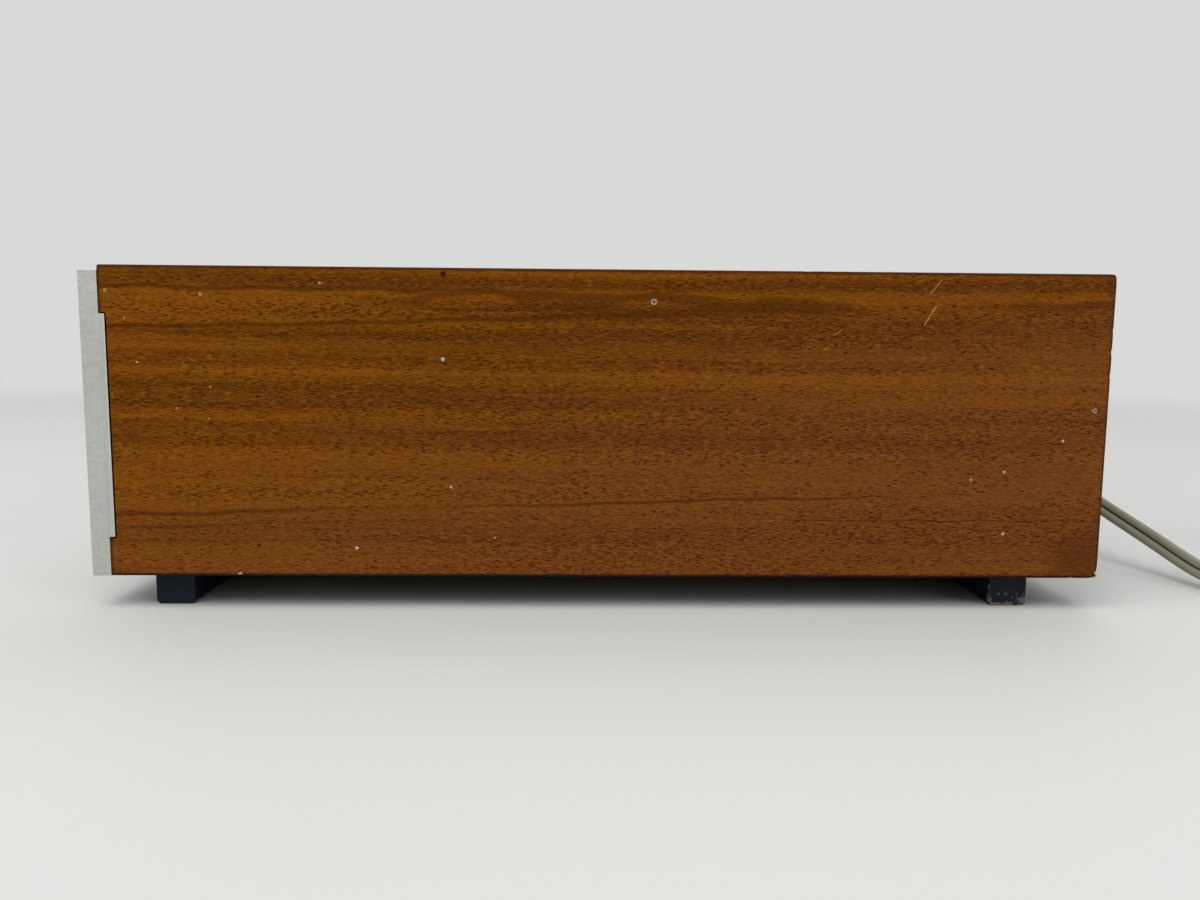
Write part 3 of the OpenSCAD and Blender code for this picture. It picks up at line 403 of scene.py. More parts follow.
def show_piece(name, mesh, material, body=ROOT, sharp=35.0, stands_for=()):
    """Puts a finished mesh into the scene, on its body and in place of the solids that it stands for."""
    mesh.materials.clear()
    mesh.materials.append(material)
    mesh.shade_smooth()
    mesh.set_sharp_from_angle(angle=math.radians(sharp))
    piece = bpy.data.objects.new(name, mesh)
    bpy.context.scene.collection.objects.link(piece)
    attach(piece, body)
    if stands_for:
        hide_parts(*stands_for)
    return piece


def softened(node, width, material, body=ROOT, segments=2, angle=40.0, sharp=40.0):
    """A merged copy of a solid whose flat faces are made whole and whose sharp edges get a small round."""
    mesh = cleaned(frame["nodes"][node].data.copy(), whole=True)
    piece = show_piece(node + "_dressed", mesh, material, body, sharp, (node,))
    bevel = piece.modifiers.new("edge_round", "BEVEL")
    bevel.width = width
    bevel.segments = segments
    bevel.limit_method = "ANGLE"
    bevel.angle_limit = math.radians(angle)
    bevel.harden_normals = True
    return piece


def set_camera():
    """Camera along -X, turned by yaw about Z, pitched down, then rolled about its line of sight."""
    pitch, yaw, roll = (math.radians(a) for a in (CAMERA_PITCH, CAMERA_YAW, CAMERA_ROLL))
    turn = Matrix.Rotation(yaw + math.pi / 2, 4, "Z") @ Matrix.Rotation(math.pi / 2 - pitch, 4, "X")
    data = bpy.data.cameras.new("camera")
    data.lens = CAMERA_LENS
    data.sensor_width = 36.0
    data.clip_start = 0.01
    camera = bpy.data.objects.new("camera", data)
    camera.matrix_world = Matrix.Translation(CAMERA_AT) @ turn @ Matrix.Rotation(roll, 4, "Z")
    bpy.context.scene.collection.objects.link(camera)
    bpy.context.scene.camera = camera


def coil_line(count=340):
    """The coil's centre line: a flat spiral in, an eased climb of one layer, and a spiral out above it.
    Away from the tie the turns sink on to the floor."""
    turns = COIL_LOOPS + (COIL_TO - COIL_FROM) / 360
    t = np.linspace(0, turns, count)
    angle = np.radians(COIL_FROM + 360 * t)
    radius = COIL_R0 - COIL_PITCH * COIL_IN + COIL_PITCH * np.abs(t - COIL_IN)
    climb = np.clip((t - COIL_IN) / COIL_CLIMB + 0.5, 0, 1)
    sink = COIL_SINK * (1 - np.exp(-4 * (1 - np.cos(angle))))
    height = COIL_Z + COIL_LAYER * climb ** 2 * (3 - 2 * climb) - sink
    return np.stack([COIL_AT[0] + radius * np.cos(angle), COIL_AT[1] + radius * np.sin(angle), height], -1)


def cord_route():
    """Out of the strain relief, down to the floor, round the coil and to the plug, in even steps."""
    coil = coil_line()
    lead = CORD_W * unit(coil[1] - coil[0])
    trail = CORD_W * unit(coil[-1] - coil[-2])
    run = spline([[40, 136, 46]] + RUN_POINTS + [(coil[0] - lead).tolist()])
    tail = spline([(coil[-1] + trail).tolist()] + TAIL_POINTS + [[134, 261.8, 7]])
    line = along(np.vstack([run, coil, tail]), CORD_STEP)
    for _ in range(3):
        line[1:-1] = (line[:-2] + 2 * line[1:-1] + line[2:]) / 4
    return line


def twin_section(points=23):
    """Two cores side by side, each a squared circle (sine and cosine to the power 0.82) up to the web."""
    core = CORD_T / 2
    web = math.radians(13)
    arc = np.linspace(web - np.pi / 2, 1.5 * np.pi - web, points)
    plain = np.stack([np.cos(arc), np.sin(arc)], -1)
    upper = core * np.sign(plain) * np.abs(plain) ** 0.82 + [0, (CORD_W - CORD_T) / 2]
    return np.vstack([upper, -upper])


def make_cord(material):
    """The twin section carried along the route, its broad side upright, then twisted by a bell curve over the
    hanging stretch; the points carry their nearness to the web, 1 there, for painted shade in the crease
    between the cores, and around counts the distance round the section."""
    line = cord_route()
    ahead = unit(np.gradient(line, axis=0))
    across = unit(np.cross(ahead, [0.0, 0.0, 1.0]))
    rise = np.cross(across, ahead)
    far = np.arange(len(line))[:, None] * CORD_STEP
    twist = np.radians(CORD_TWIST) * np.exp(-(((far - TWIST_AT) / TWIST_REACH) ** 4))
    across, rise = (across * np.cos(twist) + rise * np.sin(twist),
                    rise * np.cos(twist) - across * np.sin(twist))
    section = twin_section()
    grid = line[:, None] + across[:, None] * section[None, :, :1] + rise[:, None] * section[None, :, 1:]
    # nearness to the web, 1 there: the sheath paints shade into this crease
    groove = np.broadcast_to(np.exp(-((section[:, 1] / 0.20) ** 2)), grid.shape[:2])
    around = np.broadcast_to(np.tile(np.linspace(0, 1, len(section) // 2), 2), grid.shape[:2])
    flex = make_piece("mains_flex", tube(grid * MM), material, sharp=60.0,
                      marks={"groove": groove, "around": around},
                      stands_for=("mains_cord_run", "mains_cord_coil", "mains_cord_tail"))
    return flex, line * MM


def teak_veneer(name, lengthwise, marked=False):
    """Oiled veneer: soft bands and streaks drawn out along the grain, crowds of short dark pores with pale
    flecks between them, a few dark lines, a dark edge where rim is 1 and bare wood where chip is 1. On a
    side board, painted light makes its front lower part a little lighter, and painted shade lays a ragged
    near-black band along its bottom edge."""
    f = Finish(name, specular_ior_level=0.028)

    def cut(lengthways, across):
        return (across, lengthways, across) if lengthwise == "y" else (lengthways, across, across)

    drift = f.warped(f.noise(cut(3.0, 5.0), 1, 0.5, out="Color"), cut(0.0, 0.010))
    grain = f.warped(f.noise(cut(60, 120), 2, 0.5, drift, out="Color"), cut(0.0, 0.0016), drift)
    bands = f.noise(cut(1.6, 52), 3, 0.55, grain)
    streaks = f.noise(cut(2.4, 290), 3, 0.6, grain, (0.3, 0.7, 0.2))
    fibres = f.noise(cut(90, 2600), 2, 0.6, grain)
    crowd = f.step(f.noise(cut(3.2, 190), 2, 0.55, grain, (0.9, 0.1, 0.5)), 0.38, 0.64)
    flecks = f.noise(cut(520, 3500), 0.5, 0.5, grain)
    nicks = f.noise(cut(760, 4700), 0.5, 0.5, grain, (0.4, 0.2, 0.8))
    pores = f.step(flecks, 0.575, 0.640) * (0.30 + 0.30 * crowd)
    pores = pores.most(f.step(nicks, 0.570, 0.640) * (0.44 + 0.26 * crowd))
    pit_scale = cut(370, 1700)
    chance = f.parts(f.cells(pit_scale, grain, "Color"))[0]
    pits = f.step(f.cells(pit_scale, grain), 0.34, 0.20) * f.step(chance - 0.74 * crowd, 0.26, 0.18)
    pores = pores.most(pits)
    gleam = f.step(flecks, 0.42, 0.32)
    ridge = abs(f.noise(cut(0.8, 19), 1, 0.4, grain, (0.6, 0.4, 0.3)) - 0.5)
    lines = f.step(ridge, 0.006, 0.001) * f.step(f.noise(cut(9, 24), 2, 0.5, drift), 0.30, 0.52)
    thread = abs(f.noise(cut(1.1, 34), 1, 0.4, grain, (0.1, 0.8, 0.6)) - 0.5)
    lines = lines.most(f.step(thread, 0.007, 0.001) * f.step(f.noise(cut(11, 40), 2, 0.5), 0.40, 0.58))
    ribbon = f.noise(cut(0.7, 100), 3, 0.6, drift, (0.7, 0.3, 0.9))
    tone = bands * 0.28 + ribbon * 0.34 + streaks * 0.32 + fibres * 0.06
    red = f.step(f.noise(cut(2.2, 9), 1, 0.5, shift=(0.2, 0.5, 0.1)), 0.40, 0.66) * 0.10
    if lengthwise == "y":
        y, z = f.parts()[1:]
        red = red + f.step(z - 0.24 * y, 0.085, 0.0) * 0.74
        # painted light: the front, lower part of a side board is made a little lighter
        tone = tone + f.step(y, 0.01, -0.10) * f.step(z, 0.085, 0.055) * 0.020
    tone = tone - (crowd - 0.5) * 0.022
    color = f.mix(f.step(tone, 0.43, 0.58), TEAK_DARK, TEAK_LIGHT)
    color = f.mix(red, color, TEAK_RED)
    color = f.mix(gleam * 0.45, color, TEAK_GLEAM)
    color = f.mix(lines * 0.62, color, TEAK_LINE)
    color = f.mix(pores * 0.90, color, TEAK_PORE)
    rough = 0.46 + pores * 0.22 + (fibres - 0.5) * 0.10
    height = fibres * 0.12 - pores
    if marked:
        color, rough = side_marks(f, color, rough)
    rim = f.own("rim")
    edge = f.step(rim + (f.noise(cut(160, 900), 2) - 0.5) * 0.5, 0.55, 0.95)
    color = f.mix(edge * 0.62, color, TEAK_EDGE)
    if lengthwise == "y":
        # painted shade: a ragged near-black band along the lowest millimetre of the side board, where it
        # meets the shade under the cabinet
        ragged = (f.noise(cut(220, 500), 3, 0.6) - 0.5) * 0.0012
        color = f.mix(f.step(z + ragged, 0.0099, 0.0094) * 0.75, color, (0.012, 0.006, 0.004))
    bare = f.own("chip") + (f.noise(900, 2) - 0.5) * 0.7
    color = f.mix(f.step(bare, 0.35, 0.60), color, TEAK_BARE)
    return f.done(color, rough, height, 0.00007)


def side_marks(f, color, rough):
    """Paint specks and rings, two dark spots, a stain low at the rear and fine scratches, all on the outer
    face of the right-hand board."""
    x, y, z = f.parts()
    outer = f.step(x, 0.1875, 0.1885)
    wobble = (f.noise(900, 2) - 0.5) * 0.5

    def spot(at_y, at_z, radius, hollow=False):
        away = apart(y - at_y * MM, z - at_z * MM) / (radius * MM) + wobble
        disc = f.step(away, 1.15, 0.75)
        return disc * f.step(away, 0.30, 0.62) if hollow else disc

    def stroke(start, end, width):
        (y0, z0), (y1, z1) = start, end
        length = math.hypot(y1 - y0, z1 - z0)
        dy, dz = (y1 - y0) / length, (z1 - z0) / length
        far = (y - y0 * MM) * dy + (z - z0 * MM) * dz
        off = (z - z0 * MM) * dy - (y - y0 * MM) * dz + (f.noise(260, 2) - 0.5) * 0.0012
        ends = f.step(far, 0.0, length * 0.15 * MM) * f.step(far, length * MM, length * 0.85 * MM)
        return f.step(abs(off), width * MM, width * 0.35 * MM) * ends

    specks = [spot(*row) for row in PAINT_SPECKS]
    specks += [spot(*row) * 0.42 for row in FAINT_SPECKS]
    specks = most_of(specks + [spot(*row, hollow=True) * 0.6 for row in PAINT_RINGS])
    scratches = most_of(stroke(*row) for row in SCRATCHES)
    dark = most_of(spot(*row) for row in DARK_SPOTS)
    stain = f.step(apart(y - REAR_STAIN[0] * MM, (z - REAR_STAIN[1] * MM) * 1.3), 0.014, 0.002)
    color = f.mix(stain * 0.52 * outer, color, TEAK_LINE)
    color = f.mix(dark * 0.9 * outer, color, (0.025, 0.004, 0.002))
    color = f.mix(scratches * 0.80 * outer, color, (0.46, 0.23, 0.050))
    color = f.mix(specks * 0.88 * outer, color, (0.46, 0.39, 0.30))
    return color, rough + specks * 0.2


def black_paint(name, worn, low, high, specks=()):
    """Blue-black brushed paint: faint strokes, dust, and ragged brown-grey patches where it has rubbed off,
    along the lower edges, at the lower rear corner and at the specks."""
    f = Finish(name, specular_ior_level=0.15)
    y, z = f.parts()[1:]
    strokes = f.noise((60, 700, 900), 3, 0.6)
    cloud = f.noise(110, 3, 0.6)
    ragged = (f.noise(750, 3, 0.6) - 0.5) * 2.2 + (f.noise(160, 2, 0.5, shift=(0.3, 0.1, 0.7)) - 0.5) * 1.6
    corner = f.step(apart(y - high.y, z - low.z), 0.0062, 0.0016)
    rim = f.box_rim(low, high, 0.0024) * f.step(z + (y - low.y) * 0.34, 0.0088, 0.0052)
    rim = rim.most(corner * 0.88)
    rubbed = f.step(rim + ragged * f.step(rim, 0.0, 0.25), worn, worn + 0.10)
    for at_y, at_z in specks:
        away = apart(y - at_y * MM, z - at_z * MM) + ragged * 0.00008
        rubbed = rubbed.most(f.step(away, 0.00040, 0.00025))
    dust = f.step(f.cells(330), 0.11, 0.06) * f.step(f.noise(60, 2), 0.50, 0.62)
    color = f.mix(cloud, (0.0030, 0.0060, 0.0115), (0.0062, 0.0098, 0.0165))
    color = f.mix(dust * 0.5, color, (0.10, 0.085, 0.065))
    color = f.mix(rubbed * 0.80, color, (0.150, 0.112, 0.076))
    rough = 0.52 + (strokes - 0.5) * 0.25 + rubbed * 0.25
    return f.done(color, rough, strokes - rubbed * 0.8, 0.00006)


def plain_wood(name):
    """Bottom board: chipboard flakes under a black-brown stain, made near black partly as painted shade for
    the deep shadow under the cabinet.
    """
    f = Finish(name, specular_ior_level=0.2)
    flakes = f.cells(420, out="Color")
    grain = f.noise((900, 60, 900), 3, 0.6)
    # painted shade: near-black colours, partly a dark stain and partly the deep shadow under the cabinet
    color = f.mix(grain, (0.0038, 0.0030, 0.0025), (0.0095, 0.0072, 0.0058))
    color = f.mix(0.10, color, flakes, "OVERLAY")
    return f.done(color, 0.62 + (grain - 0.5) * 0.2, grain, 0.00008)


def satin_aluminium(name, brushed="x"):
    """Anodised aluminium: hair lines along the brushing, faint clouds, small dark dots and worn corners."""
    f = Finish(name, metallic=1.0)
    scale = {"x": (9, 1500, 3400), "y": (3400, 9, 3400), "z": (3400, 1500, 9)}[brushed]
    hair = f.noise(scale, 4, 0.7)
    strokes = f.noise([0.22 * s for s in scale], 3, 0.65, shift=(0.5, 0.2, 0.9))
    cloud = f.noise(26, 3, 0.6)
    dots = f.step(f.cells(300), 0.075, 0.03) * f.step(f.noise(45, 2), 0.48, 0.60)
    tone = hair * 0.45 + strokes * 0.26 + cloud * 0.29
    color = f.mix(f.step(tone, 0.25, 0.75), (0.415, 0.430, 0.402), (0.610, 0.626, 0.590))
    color = f.mix(dots * 0.65, color, (0.16, 0.16, 0.15))
    color = f.mix(f.own("rim") * 0.35, color, (0.72, 0.73, 0.70))
    rough = 0.36 + (hair - 0.5) * 0.22 + (strokes - 0.5) * 0.12 + cloud * 0.08 + dots * 0.2
    return f.done(color, rough, hair, 0.000018)


def spun_metal(name, tint=(0.60, 0.60, 0.585)):
    """Turned metal: soft clouds, and fine rings round each piece's own axis, read from its reach."""
    f = Finish(name, metallic=1.0)
    reach = f.own("reach")
    rings = f.node("ShaderNodeTexNoise", {"noise_dimensions": "1D"},
                   {"W": reach * 5200.0, "Scale": 1.0, "Detail": 3.0, "Roughness": 0.7})
    cloud = f.noise(180, 3, 0.6)
    color = f.mix(rings * 0.7 + cloud * 0.3, shade(tint, 0.80), shade(tint, 1.14))
    return f.done(color, 0.24 + rings * 0.16 + cloud * 0.06, rings, 0.00002)


def plated_steel(name, tint, rough=0.34, grain=0.10):
    """Plated sheet: crystal clouds, rolling lines and a few stains."""
    f = Finish(name, metallic=1.0)
    cloud = f.noise(75, 4, 0.65)
    rolled = f.noise((14, 260, 1400), 3, 0.6)
    spangle = f.cells(240, out="Color")
    stain = f.step(f.noise(34, 4, 0.7), 0.60, 0.72)
    color = f.mix(cloud, shade(tint, 0.78), shade(tint, 1.12))
    color = f.mix(grain, color, spangle, "SOFT_LIGHT")
    color = f.mix(stain * 0.35, color, shade(tint, 0.45))
    return f.done(color, rough + cloud * 0.14 + stain * 0.12 + (rolled - 0.5) * 0.12, rolled, 0.00002)


def baked_black(name, color=(0.013, 0.0135, 0.0145), rough=0.42, grain=900, depth=0.00010):
    """Baked enamel or moulded black: a fine even grain, faint clouds, dust and lighter rubbed rims."""
    f = Finish(name, specular_ior_level=0.42)
    peel = f.noise(grain, 2, 0.5)
    cloud = f.noise(60, 3, 0.6)
    scuff = f.step(f.noise((1600, 120, 1600), 3, 0.6), 0.64, 0.74) * f.step(cloud, 0.45, 0.65)
    rubbed = f.step(f.own("rim") * 0.5 + f.noise(260, 3, 0.6), 1.02, 1.14)
    tone = f.mix(cloud, shade(color, 0.75), shade(color, 1.35))
    tone = f.mix(scuff * 0.30, tone, shade(color, 3.0, 0.01))
    tone = f.mix(rubbed * 0.5, tone, shade(color, 4.0, 0.03))
    return f.done(tone, rough + (cloud - 0.5) * 0.16 + scuff * 0.1, peel, depth, 0.6)


def flex_sheath(name):
    """Grey-olive flex: dull, with fine ribs along it, faint grime, and painted shade, near black, in the
    crease at the web.
    """
    f = Finish(name, specular_ior_level=0.22)
    grime = f.noise(90, 4, 0.65)
    fine = f.noise(1500, 2, 0.5)
    ribs = (f.own("around") * 75.0).math("SINE") * 0.5 + 0.5
    groove = f.own("groove")
    color = f.mix(grime, (0.212, 0.194, 0.137), (0.290, 0.267, 0.195))
    color = f.mix(ribs * 0.18, color, (0.360, 0.336, 0.258))
    color = f.mix(f.step(f.noise(28, 3), 0.56, 0.72) * 0.35, color, (0.140, 0.122, 0.080))
    # painted shade: near black in the crease at the web between the two cores
    color = f.mix(groove * 0.95, color, (0.012, 0.009, 0.006))
    return f.done(color, 0.50 + grime * 0.18, ribs * 0.6 + fine * 0.4, 0.00005)


def make_side(name, node, outer, material):
    """A board seen from its side: the cabinet's outline with a notch for the front plate, worn dents pressed
    into its edge as bell curves, and quarter-round rims; chip is 1 where bare wood shows."""
    lo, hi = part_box(node)
    plate_lo, plate_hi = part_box("chassis_front")
    corners = [(lo.y, lo.z), (hi.y, lo.z), (hi.y, hi.z), (lo.y, hi.z), (lo.y, plate_hi.z),
               (plate_hi.y, plate_hi.z), (plate_hi.y, plate_lo.z), (lo.y, plate_lo.z)]
    radii = np.array([0.4, 0.8, 0.9, 0.5, 0.25, 0.1, 0.1, 0.25]) * MM
    outline = dense(rounded(corners, radii), 0.0008)
    at_y, at_z, width, depth, bare = np.array(EDGE_DENTS).T[:, None]
    near = np.exp(-((outline[:, :1] / MM - at_y) ** 2 + (outline[:, 1:] / MM - at_z) ** 2) / width ** 2)
    worn = outline - outward(outline) * (near * depth).sum(-1, keepdims=True) * MM
    grid, rim = slab(worn if outer else outline, lo.x, hi.x, 0.00045, "x", 0.0012)
    chip = np.zeros(rim.shape)
    half = len(chip) // 2
    chip[half + 1:-1] = (near * bare).sum(-1)[None] * outer
    return make_piece(name, tube(grid), material, sharp=40.0, marks={"rim": rim, "chip": chip},
                      stands_for=(node,))


def make_boards():
    """The side boards, then the top, its rear strip, the bottom board and the runners with eased edges."""
    side = teak_veneer("teak_side", "y", True)
    crosswise = teak_veneer("teak_top", "x")
    make_side("side_board_right", "cabinet_side_right", 1.0, side)
    make_side("side_board_left", "cabinet_side_left", 0.0, side)
    softened("cabinet_top", 0.0005, crosswise)
    softened("top_rear_batten", 0.0005, crosswise)
    softened("cabinet_bottom", 0.0006, plain_wood("shade_darkened_board"))
    for node, wear, specks in (("front_foot_rail", 2.40, ()), ("rear_foot_rail", 0.70, RAIL_SPECKS)):
        paint = black_paint(node + "_paint", wear, *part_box(node), specks)
        softened(node, 0.0006, paint, segments=3)


def dished(outline, front, back, edge, dish, axis, steps=4, square=False):
    """An outline lifted from back to front: a quarter-round rim, then rings that shrink to the middle and
    sink by a parabola of depth dish, or by the product of two parabolas where the outline is square."""
    turn = np.linspace(0, np.pi / 2, steps)
    share = np.linspace(0, 1, 9)[1:]
    sign = np.sign(back - front)
    inset = np.concatenate([[0.0], edge * (1 - np.cos(turn))])
    height = np.concatenate([[back], front + sign * edge * (1 - np.sin(turn))])
    rim = outline[None] - outward(outline)[None] * inset[:, None, None]
    middle = outline.mean(0)
    inner = rim[-1][None] + (middle - rim[-1])[None] * share[:, None, None]
    if square:
        away = (inner - middle) / np.abs(rim[-1] - middle).max(0)
        hollow = (1 - away ** 2).prod(-1)
    else:
        hollow = np.broadcast_to(1 - (1 - share[:, None]) ** 2, inner.shape[:2])
    height = np.concatenate([np.broadcast_to(height[:, None], rim.shape[:2]), front + sign * dish * hollow])
    ring = np.concatenate([rim, inner])
    return placed(ring[..., 0], ring[..., 1], height, axis)


def box_outline(low_u, low_v, high_u, high_v, radius, steps=6):
    """A rectangle with rounded corners, anticlockwise."""
    return rounded([(low_u, low_v), (high_u, low_v), (high_u, high_v), (low_u, high_v)], radius, steps)


def circle(at_u, at_v, radius, segments):
    """A circle, anticlockwise."""
    angle = np.linspace(0, 2 * np.pi, segments, endpoint=False)
    return np.stack([at_u + radius * np.cos(angle), at_v + radius * np.sin(angle)], -1)


def middle_of(node):
    """Middle of a solid's box, in metres."""
    lo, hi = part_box(node)
    return (lo + hi) / 2


def make_knob(node, body, metal, inlay):
    """A turned knob: a skirt, a fluted grip, a grooved rim and a spun face, hollow behind over its nut. The
    grip's radius falls by the absolute sine of the flute angle. An inlaid pointer runs up the face."""
    lo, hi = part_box(node)
    at = middle_of(node)
    back, face = hi.y / MM, lo.y / MM
    rows = [(r, face + h) for r, h in KNOB_HOLLOW] + [(r, back - h) for r, h in KNOB_SKIRT]
    rows = np.array(rows + [(r, face + h) for r, h in KNOB_FACE]) * MM
    cut = np.zeros(len(rows))
    grip = len(KNOB_HOLLOW + KNOB_SKIRT) - 3
    cut[grip:grip + len(FLUTE_SHARES)] = np.array(FLUTE_SHARES) * FLUTE_DEPTH * MM
    grid = turned(rows, (at.x, 0, at.z), "y", 8 * FLUTES, lambda a: -np.abs(np.sin(FLUTES / 2 * a)), cut)
    reach = np.broadcast_to(rows[:, :1], grid.shape[:2])
    make_piece(node + "_turned", tube(grid), metal, body, 28.0, {"reach": reach}, (node,))
    bar = box_outline(at.x - 0.55 * MM, at.z + 4.6 * MM, at.x + 0.55 * MM, at.z + 10.3 * MM, 0.5 * MM)
    line = dished(bar, (face - 0.02) * MM, (face + 0.5) * MM, 0.04 * MM, 0.0, "y", 2)
    notch = box_outline(at.x - 0.45 * MM, (back - 1.7) * MM, at.x + 0.45 * MM, (back - 0.6) * MM, 0.3 * MM, 3)
    tick = dished(notch, at.z + 14.03 * MM, at.z + 13.6 * MM, 0.03 * MM, 0.0, "z", 2)
    make_piece(node + "_pointer", joined([tube(line), tube(tick)]), inlay, body)


def make_keys(metal):
    """Three oblong keys and the round power key, each with an eased rim and a shallow dish."""
    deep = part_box("chassis_front")[1].y
    for key in ("mono", "loudness", "filter", "power"):
        node = key + "_button"
        lo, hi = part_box(node)
        at = middle_of(node)
        oblong = key != "power"
        if oblong:
            outline = box_outline(lo.x, lo.z, hi.x, hi.z, 0.0011)
        else:
            outline = circle(at.x, at.z, (hi.x - lo.x) / 2, 72)
        grid = dished(outline, lo.y, deep, 0.0008, 0.0006, "y", square=oblong)
        reach = np.linalg.norm(grid[..., [0, 2]] - np.array([at.x, at.z]), axis=-1)
        make_piece(node + "_cap", tube(grid), metal, key + "_key", 30.0,
                   {"reach": reach}, (node,))


def print_marks(ink):
    """Dial scales: a bar every 30 degrees round each dial, longer at the ends and the middle, plain numbers
    0, 5 and 10, and numbers 1 to 5 for the source dial; all a hair proud of the panel."""
    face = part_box("front_panel")[0].y
    shells = []
    words = []
    for dial in DIALS:
        at = middle_of(dial + "_knob")
        source = dial == "source"
        degrees = np.arange(-60, 61, 30) if source else np.arange(-150, 151, 30)
        for a in np.radians(degrees):
            major = source or round(math.degrees(a)) in (-150, 0, 150)
            out = np.array([math.sin(a), math.cos(a)])
            side = np.array([out[1], -out[0]]) * (0.22 if major else 0.16) * MM
            near, far = out * BAR_FROM * MM, out * (BAR_LONG if major else BAR_SHORT) * MM
            flat = np.array([near - side, near + side, far + side, far - side]) + [at.x, at.z]
            heights = np.array([[face - PRINT_PROUD], [face + 0.0001]])
            shells.append(tube(placed(flat[:, 0], flat[:, 1], heights, "y")))
        names = zip("12345", degrees) if source else (("0", -150), ("5", 0), ("10", 150))
        for word, a in names:
            x, z = (NUMBER_AT * MM * turn(math.radians(a)) for turn in (math.sin, math.cos))
            words.append((word, at.x + x, at.z + z, 3.1))
    power = middle_of("power_button")
    words.append(("ON", power.x, power.z + 11.5 * MM, 2.6))
    for word, x, z, size in words:
        shells.append(word_shell(word, x, z, face - PRINT_PROUD, size * MM))
    make_piece("dial_print", joined(shells), ink, sharp=30.0)


def word_shell(word, x, z, y, size, facing=1):
    """A word as a thin mesh, centred at a place on a panel; facing is 1 for the front and -1 for the back."""
    curve = bpy.data.curves.new("word", "FONT")
    curve.body = word
    curve.size = size
    curve.align_x = "CENTER"
    curve.align_y = "CENTER"
    curve.extrude = PRINT_PROUD
    curve.resolution_u = 3
    holder = bpy.data.objects.new("word", curve)
    bpy.context.scene.collection.objects.link(holder)
    mesh = bpy.data.meshes.new_from_object(holder)
    flat = np.zeros(len(mesh.vertices) * 3)
    mesh.vertices.foreach_get("co", flat)
    flat = flat.reshape(-1, 3)
    faces = [list(p.vertices) for p in mesh.polygons]
    bpy.data.objects.remove(holder)
    bpy.data.curves.remove(curve)
    bpy.data.meshes.remove(mesh)
    return np.stack([x + facing * flat[:, 0], y - facing * flat[:, 2], z + flat[:, 1]], -1), faces


def make_front():
    """The satin panel with its dials, keys, lamp and headphone socket."""
    panel = satin_aluminium("panel_satin", "x")
    spun = spun_metal("spun_aluminium")
    ink = baked_black("black_ink", (0.010, 0.010, 0.011), 0.6)
    softened("front_panel", 0.0004, panel, sharp=50.0)
    softened("chassis_front", 0.0002, satin_aluminium("plate_satin", "z"), sharp=50.0)
    for dial in DIALS:
        make_knob(dial + "_knob", dial + "_dial", spun, ink)
    make_keys(spun)
    print_marks(ink)
    softened("panel_nuts", 0.0003, plated_steel("bright_nut", (0.62, 0.62, 0.60), 0.22))
    softened("headphone_jack", 0.0003, baked_black("jack_black", rough=0.35))
    make_pilot(spun)


def make_pilot(spun):
    """The pilot lamp's jewel, its front domed by a quarter of an ellipse, in a turned collar."""
    lo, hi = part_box("pilot_lens")
    at = middle_of("pilot_lens")
    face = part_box("front_panel")[0].y
    r = (hi.x - lo.x) / 2
    bulge = np.linspace(0, np.pi / 2, 9)
    rows = [(0, hi.y), (r, hi.y), (r, lo.y + 0.0009)]
    rows += [(0.92 * r * np.cos(a), lo.y + 0.0008 * (1 - np.sin(a))) for a in bulge]
    reach = np.broadcast_to(np.array(rows)[:, :1] / r, (len(rows), 40))
    make_piece("pilot_jewel", tube(turned(rows, (at.x, 0, at.z), "y", 40)), amber_painted_glow("amber_painted_glow"),
               marks={"reach": reach}, stands_for=("pilot_lens",))
    collar = [(0.15, 0.02), (0.15, -0.30), (0.35, -0.52), (0.70, -0.55), (1.05, -0.38), (1.20, 0.02)]
    rows = np.array([(r + out * MM, face + up * MM) for out, up in collar])
    reach = np.broadcast_to(rows[:, :1], (len(rows), 64))
    make_piece("pilot_collar", tube(turned(rows, (at.x, 0, at.z), "y", 64)), spun,
               marks={"reach": reach})


def amber_painted_glow(name):
    """Moulded amber with fine facets, and painted light: a bright middle that darkens to the rim, and a
    painted glow though the lamp is not lit.
    """
    f = Finish(name, coat_weight=0.6, coat_roughness=0.06, specular_ior_level=0.5, emission_strength=0.22)
    facets = f.cells(1300)
    # painted light: bright in the middle of the jewel, darker towards its rim
    deep = f.step(f.own("reach"), 0.15, 0.90)
    color = f.mix(deep, (0.80, 0.210, 0.012), (0.36, 0.030, 0.003))
    color = f.mix(facets * 0.5, color, (0.30, 0.022, 0.003))
    # painted glow: emission, at the strength set above, from a lamp that is not lit
    glow = f.mix(deep, (1.0, 0.34, 0.02), (0.30, 0.02, 0.002))
    return f.done(color, 0.12 + facets * 0.12, facets, 0.00012, emission_color=glow)


def slotted_screw(u, v, radius, top, seat, tip, turn, axis):
    """A slotted screw from its head's top, down to its seat and its tip: two half discs with a slot between
    them, cut by a chord on each side of the middle, over a disc that is the slot's floor, and a shank."""
    reach = math.acos(0.15)
    arc = np.linspace(-reach, reach, 25) + turn
    floor = (top + seat) / 2
    inwards = np.sign(seat - top)
    shells = []
    for half in (arc, arc + np.pi):
        outline = np.stack([u + radius * np.cos(half), v + radius * np.sin(half)], -1)
        shells.append(tube(dished(outline, top, floor + inwards * 0.0001, radius * 0.10, 0.0, axis)))
    stem = [(0, floor), (radius * 0.99, floor), (radius, floor + inwards * 0.0001), (radius, seat),
            (radius * 0.5, seat), (radius * 0.5, tip - inwards * radius * 0.2), (radius * 0.3, tip), (0, tip)]
    shells.append(tube(turned(stem, placed(u, v, 0.0, axis), axis, 40)))
    return shells


